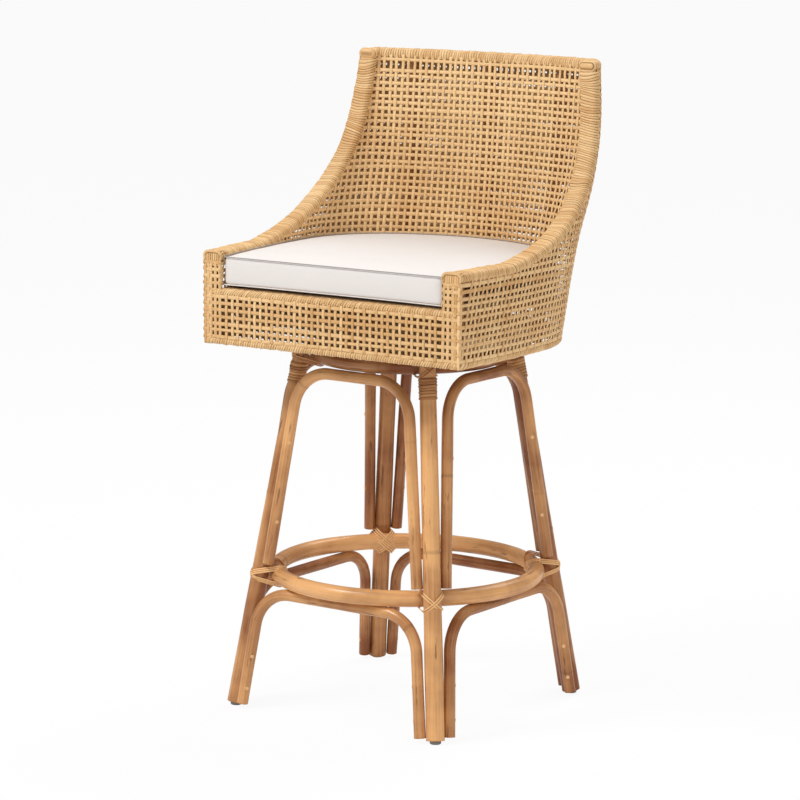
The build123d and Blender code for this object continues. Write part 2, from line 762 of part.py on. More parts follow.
with BuildPart() as outer_weave_front:
    with BuildSketch(level(rim_z + skin_foot)):
        with Locations((0, front_y + skin / 2)):
            Rectangle(2 * front_half, skin)
    extrude(amount=rail_z - rail_underside - rim_z - skin_foot)
    with BuildSketch(level(front_rail_z - skin_foot)):
        with Locations((0, front_y + skin / 2)):
            Rectangle(2 * (front_half - wall), 2 * skin)
    extrude(amount=rail_z - front_rail_z, mode=Mode.SUBTRACT)
    with BuildSketch(level(front_rail_z - skin_foot)):
        with Locations((0, front_y + skin / 2)):
            Rectangle(2 * (front_half - post_inset), 2 * skin)
    extrude(amount=2 * skin_foot, mode=Mode.SUBTRACT)
    with BuildSketch(Plane(origin=seat_point(0, front_y, (rim_z + front_rail_z) / 2), z_dir=(0, -1, 0))):
        with GridLocations(weave_pitch, apron_pitch, weave_columns, 2):
            Rectangle(weave_opening, weave_opening)
    extrude(amount=-skin, mode=Mode.SUBTRACT)
write(outer_weave_front, "outer_weave_front")

# ---- cushion ----------------------------------------------------------------------------------
with BuildPart() as cushion:
    with BuildSketch(level(cushion_bottom)):
        add(outline(cushion_bottom, wall + cushion_clearance, front=cushion_setback)
            .moved(level(cushion_bottom).location.inverse()))
    extrude(amount=cushion_thickness)
    fillet(cushion.edges().filter_by(Axis.Z).group_by(Axis.Y)[0], cushion_edge)
    fillet(cushion.edges().group_by(Axis.Z)[-1], cushion_edge)
write(cushion, "cushion")
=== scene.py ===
"""The looks of a rattan swivel bar stool: open cane weave, bound rails, a pole base and a box cushion.

Lengths are metres and angles radians. The seat's outline is a bow at the back, a round corner at each
side of it and a gently bent side, all tangent, and each of its sizes changes smoothly with height.
"""
import json
import math

import bpy
import numpy as np
from bpy.props import FloatProperty, FloatVectorProperty, PointerProperty
from mathutils import Matrix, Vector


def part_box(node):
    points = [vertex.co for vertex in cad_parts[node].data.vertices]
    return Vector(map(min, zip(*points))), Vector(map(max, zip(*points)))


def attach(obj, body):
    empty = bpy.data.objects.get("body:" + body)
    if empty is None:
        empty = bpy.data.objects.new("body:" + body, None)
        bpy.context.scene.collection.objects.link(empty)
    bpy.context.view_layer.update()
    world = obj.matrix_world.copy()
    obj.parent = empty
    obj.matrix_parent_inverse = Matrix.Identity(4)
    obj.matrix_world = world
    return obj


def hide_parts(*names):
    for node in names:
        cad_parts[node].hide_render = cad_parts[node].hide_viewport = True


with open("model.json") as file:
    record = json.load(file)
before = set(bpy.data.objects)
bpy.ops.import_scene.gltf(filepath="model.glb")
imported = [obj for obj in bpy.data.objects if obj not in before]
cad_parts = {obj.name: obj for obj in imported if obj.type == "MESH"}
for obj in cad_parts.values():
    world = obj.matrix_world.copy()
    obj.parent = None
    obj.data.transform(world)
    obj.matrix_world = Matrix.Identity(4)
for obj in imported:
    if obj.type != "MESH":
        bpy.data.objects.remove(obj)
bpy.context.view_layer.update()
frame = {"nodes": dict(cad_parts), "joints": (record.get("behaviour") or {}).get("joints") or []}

bl_info = {
    "name": "Rattan bar stool",
    "version": (1, 0, 0),
    "blender": (4, 5, 0),
    "location": "3D View > Sidebar > Stool",
    "description": "Weaves, binds and upholsters a rattan swivel bar stool on its construction frame",
    "category": "Object",
}

HANDS = {"left": -1.0, "right": 1.0}
SIDES = ("front", "right", "rear", "left")

# ---- places read from the frame ---------------------------------------------------------------
AXIS_Y = next(joint for joint in frame["joints"] if joint["name"] == "seat_swivel")["pos_m"][1]
SEAT_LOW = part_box("bottom_hoop_wrap")[0][2]
RIM_Z = (SEAT_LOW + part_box("bottom_hoop_wrap")[1][2]) / 2
RIM_TUBE = RIM_Z - SEAT_LOW
SEAT_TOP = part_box("arm_rail_left_wrap")[1][2]
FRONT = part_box("outer_weave_front")[0][1] - AXIS_Y
FRONT_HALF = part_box("outer_weave_front")[1][0]
FRONT_RAIL_Z = (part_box("front_rail_wrap")[0][2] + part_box("front_rail_wrap")[1][2]) / 2
FRONT_RAIL_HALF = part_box("front_rail_wrap")[1][0]
CUSHION_LOW, CUSHION_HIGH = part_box("cushion")[0][2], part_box("cushion")[1][2]
CUSHION_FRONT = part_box("cushion")[0][1] - AXIS_Y

# ---- the seat's sizes -------------------------------------------------------------------------
WALL = 0.036  # from the outer weave to the inner weave
SKIN = 0.003
RAIL_HEIGHT = 0.0194
ARM_TOP_Z = 0.790
RAIL_Z = ARM_TOP_Z - RAIL_HEIGHT / 2
TOP_RAIL_Z = SEAT_TOP - RAIL_HEIGHT / 2
RIM_BEND = 0.008
ROW_START = RIM_Z + RIM_TUBE
WEAVE_FOOT = RIM_Z + 0.004  # the strands end inside the bottom hoop's wrap
LONGEST_HALF = 0.9  # more than half the outline's length anywhere
# the arm rail's centre line seen from the side: distance behind the front face, share of the rise to the top
ARM_LINE = np.array(((0.0, 0.0), (0.060, 0.0), (0.110, 0.0), (0.160, 0.003), (0.266, 0.078), (0.337, 0.185),
                     (0.395, 0.325), (0.441, 0.522), (0.464, 0.782), (0.4703, 1.0)))
# share of the seat's height, half width, half width at the front, rear corner radius, back, back's bow radius
SHELL = np.array((
    (0.0, 0.264, FRONT_HALF, 0.240, 0.242, 0.300),
    (0.36, 0.270, FRONT_HALF, 0.185, 0.257, 0.400),
    (0.57, 0.262, FRONT_HALF - 0.004, 0.102, 0.267, 0.650),
    (0.755, 0.250, FRONT_HALF - 0.012, 0.050, 0.274, 0.850),
    (1.0, 0.237, FRONT_HALF - 0.021, 0.038, 0.280, 1.000)))

# ---- how the work varies ----------------------------------------------------------------------
STRAND_SPREAD, ROW_WIDTH = 0.07, 1.08  # how widths vary, and a level strand's width, as shares of the width
STRAY = 0.0006  # how far a strand strays from its place
EDGE_SHADE, UNDER_SHADE, BACKING_SHADE = 0.22, 0.06, 0.7  # painted shade from 0 to 1: at a strand's edges, where it goes under a crossing, and all over the backing weave
FAINT_GROOVE = 0.45  # the lightest painted shade in a groove between turns, as a share of the darkest
NODE_GAPS, NODE_DARKNESS = (0.17, 0.40), (0.05, 0.65)  # from node to node of a pole, and its line's shade

# ---- the base's sizes -------------------------------------------------------------------------
BASE_TURN = math.radians(-3.65)
FOOT_HALF = 0.2086
LEG_SLOPE = 0.1297
LEG_FOOT, LEG_HEAD, LEG_HEAD_Z = 0.0156, 0.0140, 0.620
GLIDE = 0.005
RING_Z, RING_TUBE = 0.229, 0.014
HOOP_Z, HOOP_TUBE = 0.608, 0.0135
ARCH_TUBE, ARCH_BEND, ARCH_SEAT = 0.0098, 0.068, math.radians(30)
ARCHES = {"upper": (0.250, HOOP_Z - HOOP_TUBE, 0.09), "lower": (0.008, RING_Z - RING_TUBE, 0.10)}
TOUCH = 0.0003  # between round pieces that are bound together
# at the front left, front right, rear right and rear left leg: each way's strands, and their tilt in degrees
LASHINGS = ((3, 25.0), (2, 41.0), (3, 25.0), (5, 41.0))

# ---- camera -----------------------------------------------------------------------------------
CAMERA_PLACE = (3.0474, -5.0101, 1.563)
CAMERA_AZIMUTH, CAMERA_ELEVATION, CAMERA_ROLL = (math.radians(turn) for turn in (31.51, 10.07, 0.53))
CAMERA_LENS, CAMERA_SENSOR = 156.87, 36.0


def length(name, description, default):
    return FloatProperty(name=name, description=description, default=default, unit="LENGTH")


def colour(name, description, default):
    return FloatVectorProperty(name=name, description=description, subtype="COLOR", size=3,
                               min=0.0, max=1.0, default=default)


class StoolSizes(bpy.types.PropertyGroup):
    """Sizes of the strands and wraps, in metres."""
    weave_pitch: length("Weave pitch", "From strand to strand of the weave", 0.0113)
    strand_width: length("Strand width", "Width of one strand of the weave", 0.0058)
    strand_thickness: length("Strand thickness", "Thickness of one strand", 0.0014)
    strand_wave: length("Strand wave", "How far a strand rises over a crossing", 0.0006)
    peel_pitch: length("Peel pitch", "Width of a turn of peel on the rails", 0.0046)
    peel_groove: length("Peel groove", "Depth between two turns of peel", 0.0012)
    binding_pitch: length("Binding pitch", "Width of a turn on a leg's head", 0.0052)
    lashing_width: length("Lashing width", "Width of a strand of a lashing", 0.0029)
    piping: length("Piping", "Diameter of the cushion's piping", 0.0018)
    cushion_fill: FloatProperty(name="Cushion fill", description="From slack to tight", default=0.8,
                                min=0.0, max=1.0, subtype="FACTOR")


class StoolColours(bpy.types.PropertyGroup):
    """Colours of the finishes, linear."""
    cane: colour("Cane", "Pale strands of the weave and wraps", (0.88, 0.60, 0.305))
    cane_deep: colour("Cane, deep", "Darker strands and streaks", (0.56, 0.275, 0.085))
    cane_shade: colour("Cane, shaded", "Between the turns and at the crossings", (0.085, 0.028, 0.006))
    pole: colour("Pole", "Pale parts of the rattan poles", (0.82, 0.440, 0.180))
    pole_deep: colour("Pole, deep", "Darker streaks of the poles", (0.26, 0.082, 0.023))
    pole_node: colour("Pole node", "The rings where a leaf grew, and flecks", (0.085, 0.030, 0.010))
    linen: colour("Linen", "The cushion's cover", (0.77, 0.73, 0.705))
    piping_painted_shade: colour("Piping", "The cushion's piping", (0.34, 0.32, 0.31))
    plywood: colour("Plywood", "Board, battens and deck", (0.58, 0.40, 0.22))
    steel: colour("Steel", "Swivel plates and screws", (0.62, 0.62, 0.60))
    glide: colour("Glide", "Foot glides", (0.27, 0.26, 0.25))
    floor: colour("Floor", "Floor and backdrop", (0.86, 0.855, 0.85))


def sizes():
    return bpy.context.scene.stool_sizes


def colours():
    return bpy.context.scene.stool_colours


def triple(first, second, third):
    """Three arrays that broadcast together, as the last axis of one."""
    return np.stack(np.broadcast_arrays(first, second, third), axis=-1)


def unit(vectors):
    return vectors / np.linalg.norm(vectors, axis=-1, keepdims=True)


# ---- the seat's outline -----------------------------------------------------------------------
def cubic_through(x, knots, values):
    """A cubic between knots whose slope at each knot is that of the line between its neighbours."""
    rise = np.empty_like(values)
    rise[1:-1] = (values[2:] - values[:-2]) / (knots[2:] - knots[:-2])[:, None]
    rise[0] = (values[1] - values[0]) / (knots[1] - knots[0])
    rise[-1] = (values[-1] - values[-2]) / (knots[-1] - knots[-2])
    n = np.clip(np.searchsorted(knots, x) - 1, 0, len(knots) - 2)
    gap = (knots[n + 1] - knots[n])[..., None]
    t = (x - knots[n])[..., None] / gap
    return ((2 * t**3 - 3 * t**2 + 1) * values[n] + (3 * t**2 - 2 * t**3) * values[n + 1]
            + (t**3 - 2 * t**2 + t) * gap * rise[n] + (t**3 - t**2) * gap * rise[n + 1])


def outline(s, z, inset=0.0, out=0.0):
    """Points and outward directions of the outline at height z, drawn in by inset and moved out by out.

    s is the distance along it from the middle of the back, positive to the right. Its half is the bow,
    then the corner's arc, then the side's arc, each as far as its own length.
    """
    s, z = np.broadcast_arrays(np.asarray(s, float), np.asarray(z, float))
    share = (z - SEAT_LOW) / (SEAT_TOP - SEAT_LOW)
    half, front, corner, back, bow = np.moveaxis(cubic_through(share, SHELL[:, 0], SHELL[:, 1:]), -1, 0)
    corner_x, bow_y = half - corner, back - bow
    corner_y = bow_y + np.sqrt((bow - corner) ** 2 - corner_x**2)
    turn = np.arctan2(corner_x, corner_y - bow_y)
    bow_length = (bow - inset) * turn
    corner_length = (corner - inset) * (math.pi / 2 - turn)
    bend = ((half - front) ** 2 + (corner_y - FRONT) ** 2) / (2 * (half - front))
    run = np.abs(s)
    on_bow, on_corner = run < bow_length, run < bow_length + corner_length
    angle = np.where(on_bow, run / (bow - inset),
                     np.where(on_corner, turn + (run - bow_length) / (corner - inset),
                              math.pi / 2 + (run - bow_length - corner_length) / (bend - inset)))
    middle_x = np.where(on_bow, 0, np.where(on_corner, corner_x, half - bend))
    middle_y = np.where(on_bow, bow_y, corner_y)
    radius = np.where(on_bow, bow, np.where(on_corner, corner, bend)) - inset + out
    side = np.where(s < 0, -1.0, 1.0)
    points = triple((middle_x + radius * np.sin(angle)) * side, middle_y + radius * np.cos(angle) + AXIS_Y, z)
    return points, triple(np.sin(angle) * side, np.cos(angle), 0.0)


def arm_curve(count):
    """The arm rail's centre line in the side view: distances behind the front face and heights."""
    line = ARM_LINE * (1.0, SEAT_TOP - RAIL_Z)
    run = np.concatenate([[0], np.cumsum(np.hypot(*np.diff(line, axis=0).T))])
    back, rise = cubic_through(np.linspace(0, run[-1], count), run, line).T
    return back, rise + RAIL_Z


def arm_front(z):
    """How far behind the seat's front face the wall starts at height z, under the arm rail."""
    back, height = arm_curve(400)
    return np.where(z > RAIL_Z, np.interp(z, height, back), 0.0)


def reach(z, inset, ends_behind=0.0):
    """How far along the outline the wall runs from the middle of the back, at each height z."""
    steps = np.linspace(0, LONGEST_HALF, 1801)
    y = outline(steps[None, :], np.asarray(z)[:, None], inset)[0][..., 1] - AXIS_Y - FRONT
    inside = y > (arm_front(np.asarray(z)) + ends_behind)[:, None]
    return steps[np.argmin(inside, axis=1)]


# ---- surfaces ---------------------------------------------------------------------------------
def surface(name, rings, fibre, mark, closed=False, seam_shift=0):
    """A mesh of tubes: rings has tube, station, place round the ring and x, y, z as its axes.

    Each ring is joined to the next, and its last place to the first place seam_shift rings on. The ends
    of an open tube are closed with a face. fibre is a vector along, round and by chance, and the fourth
    argument a darkness from 0 to 1: painted shade on the weave and wraps, a node's dark line on the poles.
    """
    tubes, stations, places = rings.shape[:3]
    fibre, mark = np.broadcast_to(fibre, rings.shape), np.broadcast_to(mark, rings.shape[:3])
    spine = rings.mean(axis=2, keepdims=True)
    along, around = np.diff(rings, axis=1)[:, :, :-1], np.diff(rings, axis=2)[:, :-1]
    facing = np.sum(np.cross(along, around) * (rings - spine)[:, :-1, :-1])
    if facing < 0:
        rings, fibre, mark = rings[:, :, ::-1], fibre[:, :, ::-1], mark[:, :, ::-1]
        seam_shift = -seam_shift
    number = np.arange(tubes * stations * places).reshape(tubes, stations, places)
    station = np.arange(stations if closed else stations - 1)
    quads = []
    for place in range(places):
        shift = seam_shift if place == places - 1 else 0
        low, high = station + shift, station + 1 + shift
        keep = np.ones(len(station), bool) if closed else (low >= 0) & (high < stations)
        here, there = station[keep], (low[keep] % stations, high[keep] % stations)
        nxt = (place + 1) % places
        quads.append(np.stack([number[:, here, place], number[:, (here + 1) % stations, place],
                               number[:, there[1], nxt], number[:, there[0], nxt]], axis=-1).reshape(-1, 4))
    quads = np.concatenate(quads)
    caps = np.empty((0, places), int)
    if not closed and not seam_shift:
        caps = np.concatenate([number[:, 0], number[:, -1, ::-1]])
    corners = np.concatenate([quads.ravel(), caps.ravel()])
    starts = np.concatenate([np.arange(len(quads)) * 4, 4 * len(quads) + np.arange(len(caps)) * places])
    mesh = bpy.data.meshes.new(name)
    mesh.vertices.add(number.size)
    mesh.vertices.foreach_set("co", rings.astype(np.float32).ravel())
    mesh.loops.add(len(corners))
    mesh.loops.foreach_set("vertex_index", corners.astype(np.int32))
    mesh.polygons.add(len(starts))
    mesh.polygons.foreach_set("loop_start", starts.astype(np.int32))
    mesh.update(calc_edges=True)
    mesh.attributes.new("fibre", "FLOAT_VECTOR", "POINT").data.foreach_set(
        "vector", fibre.astype(np.float32).ravel())
    mesh.attributes.new("mark", "FLOAT", "POINT").data.foreach_set(
        "value", mark.astype(np.float32).ravel())
    mesh.shade_smooth()
    return placed(name, mesh)


def placed(name, mesh):
    thing = bpy.data.objects.new(name, mesh)
    bpy.context.scene.collection.objects.link(thing)
    return thing


def finish_piece(thing, material, body, slot, *nodes):
    """Gives a piece its material and its body and hides the nodes that it stands for; slot is not used."""
    thing.data.materials.clear()
    thing.data.materials.append(material)
    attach(thing, body)
    if nodes:
        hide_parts(*nodes)
    return thing


def flat_section(width, thickness):
    """Six places round a flat strand: its two edges and the shoulders of its crowned faces."""
    across = np.array([-0.5, -0.32, 0.32, 0.5, 0.32, -0.32]) * width
    proud = np.array([0.0, 0.5, 0.5, 0.0, -0.5, -0.5]) * thickness
    return across, proud


def ribbons(name, centres, outward, dice, width=None, thickness=None, rise=None, face=1.0, hidden=1.0,
            deep=0.0):
    """Flat strands along rows of centres, lying square to outward and each a little wider or narrower.

    A strand's across direction is its own direction crossed with outward, and its section goes there. Its
    darkness is painted shade: hidden gives it on the side that face turns away, some lies at the edges as
    crevice shade and some as a contact shadow where it goes under another strand, which rise tells from 1
    over to -1 under, and deep adds an even painted shade throughout.
    """
    width, thickness = width or sizes().strand_width, thickness or sizes().strand_thickness
    along = unit(np.gradient(centres, axis=1))
    across = unit(np.cross(along, outward))
    proud_way = np.cross(across, along)
    over, up = flat_section(width, thickness)
    over = over * dice.normal(1, STRAND_SPREAD, (len(centres), 1, 1))
    rings = centres[:, :, None] + across[:, :, None] * over[..., None] + proud_way[:, :, None] * up[:, None]
    step = np.linalg.norm(np.diff(centres, axis=1), axis=-1)
    run = np.concatenate([np.zeros((len(centres), 1)), np.cumsum(step, axis=1)], axis=1)
    fibre = triple(run[:, :, None], over, dice.uniform(0, 1, (len(centres), 1, 1)))
    under = 0.0 if rise is None else UNDER_SHADE * np.clip(-face * rise, 0, 1)[:, :, None]
    # painted shade: on the hidden side, at the edges, under crossings and, by deep, all over
    mark = np.clip(hidden * (face * up < 0) + EDGE_SHADE * (up == 0) + under + deep, 0, 1)
    return surface(name, rings, fibre, mark)


def wavy(places, crossing):
    """The rise of a strand at places along it: a cosine, 1 where it goes over and -1 where it goes under."""
    return np.cos(math.pi * (places / sizes().weave_pitch + crossing))


def join(name, things):
    """One object with the meshes of several."""
    with bpy.context.temp_override(active_object=things[0], selected_editable_objects=things):
        bpy.ops.object.join()
    things[0].name = things[0].data.name = name
    return things[0]


# ---- weave ------------------------------------------------------------------------------------
def row_heights(low, high, offset=0.0):
    """The heights of the weave's rows between low and high, and each row's number above the bottom hoop."""
    pitch = sizes().weave_pitch
    number = np.arange(0, (SEAT_TOP - ROW_START) / pitch)
    rows = ROW_START + pitch * (number + offset)
    kept = (rows > low) & (rows < high)
    return rows[kept], number[kept]


def wandering(places, dice, count, spread):
    """How far each strand strays at its places: a shift of its own and a slow wave."""
    return (dice.normal(0, 0.6 * spread, (count, 1))
            + spread * np.sin(places * 21 + dice.uniform(0, 6, (count, 1))))


def woven_rows(name, inset, low, dice, face, hidden, offset):
    """The level strands of one layer: each keeps its height and follows the outline from arm to arm.

    The inner layer has one more under the top rail, and the outer two, behind the inner's last openings.
    """
    pitch, wave = sizes().weave_pitch, sizes().strand_wave
    edge, clear_of_edge, second_last = TOP_RAIL_Z - RAIL_HEIGHT / 2, 0.008, 0.0055
    z, row = row_heights(low, edge - clear_of_edge, offset)
    more = (edge - second_last, edge) if face > 0 else (edge,)
    z, row = np.append(z, more), np.append(row, row[-1] + 1 + np.arange(len(more)))
    ends = reach(z, inset)
    s = ends[:, None] * np.linspace(-1, 1, int(2 * ends.max() / pitch * 3))
    rise = wavy(s, row[:, None] + 1)
    heights = z[:, None] + wandering(s, dice, len(z), STRAY)
    points, outward = outline(s, heights, inset, rise * wave)
    return ribbons(name, points, outward, dice, ROW_WIDTH * sizes().strand_width, None, rise, face, hidden)


def woven_uprights(name, inset, low, dice, face, hidden, offset):
    """The upright strands of one layer, a pitch apart along the outline, up to the rail above each.

    One more stands at each end of the layer, at the seat's front.
    """
    pitch, wave = sizes().weave_pitch, sizes().strand_wave
    tall_from, from_front = 0.95, 0.004
    levels = np.linspace(low, TOP_RAIL_Z, 300)
    ends = reach(levels, inset)
    columns = np.arange(-int(ends.max() / pitch), int(ends.max() / pitch) + 1)
    s = columns * pitch
    tops = levels[np.maximum(np.argmin(ends > np.abs(s)[:, None], axis=1) - 1, 0)]
    tops[np.abs(s) < ends.min()] = TOP_RAIL_Z
    tall = tops > tall_from
    made = []
    for which, label in ((tall, "tall"), (~tall, "short")):
        chosen = which & (tops > low + pitch)
        height = (tops[chosen] - low)[:, None]
        z = low + height * np.linspace(0, 1, int(height.max() / pitch * 3))
        rise = wavy(z - ROW_START - offset * pitch, columns[chosen][:, None])
        places = s[chosen][:, None] + wandering(z, dice, len(z), STRAY)
        points, outward = outline(places, z, inset, rise * wave)
        made.append(ribbons(f"{name}_{label}", points, outward, dice, None, None, rise, face, hidden))
    z = np.arange(low, RAIL_Z - RAIL_HEIGHT / 2, pitch / 3)
    s = (reach(z, inset) - from_front) * np.array([[-1.0], [1.0]])
    points, outward = outline(s, z, inset, -wave)
    made.append(ribbons(f"{name}_end", points, outward, dice, face=face, hidden=hidden))
    return join(name, made)


def front_weave(dice):
    """The flat weave across the front: the apron under the front rail, and the ends of both walls.

    A second weave lies close behind the apron, half a pitch out of step with it; its strands are painted
    in shade, so that the apron's openings look dark.
    """
    pitch, wave = sizes().weave_pitch, sizes().strand_wave
    outward = np.array([0.0, -1.0, 0.0])
    y = FRONT + AXIS_Y + SKIN / 2
    fine = pitch / 3
    made = []

    def panel(label, x, z, upright, number, depth=0.0, deep=0.0, offset=0.0):
        """Strands on the grid of x by z, a row each, or a column each where they stand upright; deep is an
        even painted shade.
        """
        places = z - ROW_START - offset * pitch if upright else x - offset * pitch
        number = np.asarray(number)[:, None]
        grid_x, grid_z = np.broadcast_arrays(x[:, None], z[None, :])
        if not upright:
            grid_x, grid_z = grid_x.T, grid_z.T
        rise = wavy(places[None, :], number + (0 if upright else 1))
        centres = triple(grid_x, y + depth - rise * wave, grid_z)
        centres[..., 0 if upright else 2] += wandering(places[None, :], dice, len(number), 0.0005)
        made.append(ribbons(f"front_{label}", centres, np.broadcast_to(outward, centres.shape), dice,
                            sizes().strand_width * (1.0 if upright else ROW_WIDTH), rise=rise, deep=deep))

    apron, arm = FRONT_RAIL_Z, RAIL_Z - 0.009
    inner, edge = FRONT_HALF - WALL, FRONT_HALF - 0.001
    columns = np.arange(-int(inner / pitch), int(inner / pitch) + 1)
    panel("uprights", columns * pitch, np.arange(WEAVE_FOOT, apron, fine), True, columns)
    rows, numbers = row_heights(WEAVE_FOOT, apron)
    panel("rows", np.arange(-edge, edge, fine), rows, False, numbers)
    behind, top, side = 2 * SKIN, apron - RIM_TUBE, inner + 0.010
    # the backing weave is painted in shade all over, and lies half a pitch out of step
    backing = BACKING_SHADE, 0.5
    columns = np.arange(-int(side / pitch), int(side / pitch))
    panel("backing_uprights", (columns + 0.5) * pitch, np.arange(ROW_START, top, fine), True, columns,
          behind, *backing)
    rows, numbers = row_heights(ROW_START, top, 0.5)
    panel("backing_rows", np.arange(-side, side, fine), rows, False, numbers, behind, *backing)
    rows, numbers = row_heights(apron, arm)
    three = np.arange(0, 3)
    open_pitch, dense_pitch = 0.0088, 0.0056
    for hand in HANDS.values():
        panel("ear_uprights", hand * (inner + 0.0032 + three * open_pitch), np.arange(WEAVE_FOOT, arm, fine),
              True, three)
        panel("ear_rows", hand * np.arange(inner, edge, fine), rows, False, numbers)
        panel("ear_dense", hand * (edge - dense_pitch / 2 - three * dense_pitch),
              np.arange(SEAT_LOW + 0.001, arm, fine), True, three)
    return join("front_weave", made)


def arm_end(hand, dice):
    """The strands that come up an arm's front and bend back over the rail, and one along their arch.

    Seen from the front the rail's section is a slot; a strand rises to its top edge there, turns back in a
    quarter circle and sinks among the turns behind. The arch follows the slot's upper half.
    """
    count, width, thickness = 8, 0.0044, 0.0015
    front, middle = FRONT + AXIS_Y, hand * (FRONT_HALF - WALL / 2)
    radius, straight, bend = RAIL_HEIGHT / 2, (WALL - RAIL_HEIGHT) / 2, 0.0075
    x = np.linspace(-1, 1, count)[:, None] * (WALL / 2 - 0.0030)
    top = RAIL_Z + np.sqrt(radius**2 - np.maximum(np.abs(x) - straight, 0) ** 2) - 0.0004
    turn = np.concatenate([np.zeros(8), np.linspace(0, math.pi / 2, 9), np.full(6, math.pi / 2)])[None, :]
    up = np.concatenate([np.linspace(1, 0.1, 8), np.zeros(15)])[None, :]
    back = np.concatenate([np.zeros(17), np.linspace(0.1, 1, 6)])[None, :]
    y = front + 0.0022 + bend * (1 - np.cos(turn)) + dice.uniform(0.008, 0.016, (count, 1)) * back
    z = top - bend + bend * np.sin(turn) - up * (top - bend - RAIL_Z + 0.016) - 0.0016 * back**2
    fan = ribbons("fan", triple(middle + x, y, z), triple(0.0 * x, -np.cos(turn), np.sin(turn)), dice,
                  width, thickness)
    angle = np.linspace(math.radians(-35), math.pi / 2, 14)
    inside = radius - 0.0012
    bow = np.stack([-straight - inside * np.cos(angle), inside * np.sin(angle)], axis=-1)
    bow = np.concatenate([bow, (bow * (-1, 1))[::-1]])
    centres = triple(middle + bow[:, 0], front + 0.0009, RAIL_Z + bow[:, 1])[None]
    arch = ribbons("arch", centres, np.broadcast_to((0.0, -1.0, 0.0), centres.shape), dice, 0.0040, thickness)
    return join("arm_end", [fan, arch])


# ---- wraps ------------------------------------------------------------------------------------
def slot_section(width, height, places):
    """Points and outward directions round a slot: two straights and two half circles, evenly spaced."""
    radius, half = height / 2, (width - height) / 2
    bend = math.pi * radius
    d = np.arange(places) / places * (2 * bend + 4 * half)
    parts = d < 2 * half, d < 2 * half + bend, d < 4 * half + bend
    angle = np.select(parts, (0 * d, (d - 2 * half) / radius, math.pi + 0 * d),
                      math.pi + (d - 4 * half - bend) / radius)
    middle = np.select(parts, (d - half, half + 0 * d, 3 * half + bend - d), -half)
    way = np.stack([np.sin(angle), np.cos(angle)], axis=-1)
    return np.stack([middle, np.zeros_like(middle)], axis=-1) + way * radius, way


def round_section(diameter, places):
    return slot_section(diameter, diameter - 1e-6, places)


def along_path(path, spacing, closed=False):
    """Points evenly spaced along a path, and how far along it each lies."""
    if closed:
        path = np.concatenate([path, path[:1]])
    run = np.concatenate([[0], np.cumsum(np.linalg.norm(np.diff(path, axis=0), axis=1))])
    count = int(round(run[-1] / spacing))
    places = np.linspace(0, run[-1], count + 1)[:count if closed else None]
    return np.stack([np.interp(places, run, axis) for axis in path.T], axis=-1), places


def wound(name, path, steady, section, pitch, groove, dice, closed=False, slant=0, rounded=0.0, fan=0.25):
    """Peel wound round a rail: the section carried along a path, one of its directions always steady.

    A turn is five rings wide, and the first ring of each lies a groove's depth lower. Turns stray along
    the rail by a share of the pitch, fan, that swings round the section, and lean by about as much, more
    here and less there. With a slant the rings shear into that many turns each time round. The ends are
    drawn in as a quarter circle of radius rounded.
    """
    steps, shoulder, uneven, lean_step = 5, 0.35, 0.28, 0.03
    base, way = section
    places = len(base)
    centres, run = along_path(path, pitch / steps, closed)
    if closed and slant:
        centres, run = along_path(path, run[-1] / (round(run[-1] / pitch) * steps), closed)
    steady = unit(np.asarray(steady, float))
    tangent = np.gradient(centres, axis=0)
    if closed:
        tangent[0] = tangent[-1] = centres[1] - centres[-1]
    tangent = unit(tangent - (tangent @ steady)[:, None] * steady)
    side = np.cross(steady, tangent)
    turn, in_turn = np.divmod(np.arange(len(centres)), steps)
    turns = turn.max() + 2
    in_groove = (in_turn == 0).astype(float)
    drop = in_groove * groove + np.interp(in_turn, [0, 2.5, 5], [shoulder, 0, shoulder]) * groove * 0.5
    fullness = dice.normal(0, uneven, turns)[turn] * groove
    around = np.arange(places) / places
    swing = fan * pitch * np.sin(2 * math.pi * around[None, :] + 3 * np.sin(run * 9)[:, None])
    swing += (around - 0.5)[None, :] * slant * pitch
    if not closed:
        leans = np.arange(0, run[-1] + 2 * lean_step, lean_step)
        lean = np.interp(run, leans, dice.normal(0, fan, len(leans)))
        swing += lean[:, None] * pitch * np.cos(2 * math.pi * around)[None, :]
    depth = -drop[:, None] + fullness[:, None] * np.ones(places)
    if rounded:
        to_end = np.minimum(run, run[-1] - run)
        shy = np.clip(rounded - to_end, 0, rounded)
        depth = depth - (rounded - np.sqrt(rounded**2 - shy**2))[:, None]
        swing = swing * np.clip(to_end / (2 * rounded), 0, 1)[:, None]
    flat = base[None] + way[None] * depth[..., None]
    rings = (centres[:, None] + tangent[:, None] * swing[..., None] + side[:, None] * flat[..., :1]
             + steady * flat[..., 1:])
    chance = dice.uniform(0, 1, turns)[turn]
    girth = places * np.linalg.norm(base[1] - base[0])
    fibre = triple((around * girth)[None, :] + turn[:, None] * girth, (in_turn / steps * pitch)[:, None],
                   chance[:, None])
    # painted shade in the groove before each turn, darker on some turns than on others
    mark = (in_groove * dice.uniform(FAINT_GROOVE, 1, turns)[turn])[:, None]
    return surface(name, rings[None], fibre[None], mark[None], closed, slant * steps)


def arm_path(hand):
    """The arm rail's centre line: over the arm and up the back's edge, half a wall inside the outline."""
    back, z = arm_curve(160)
    steps = np.linspace(0, LONGEST_HALF, 3601)
    points = outline(steps[None, :], z[:, None], WALL / 2)[0]
    nearest = np.argmin(np.abs(points[..., 1] - AXIS_Y - FRONT - back[:, None])
                        + np.where(steps < 0.1, 1.0, 0.0)[None, :], axis=1)
    path = points[np.arange(len(z)), nearest]
    path[:, 1] = back + FRONT + AXIS_Y
    return path * (hand, 1, 1)


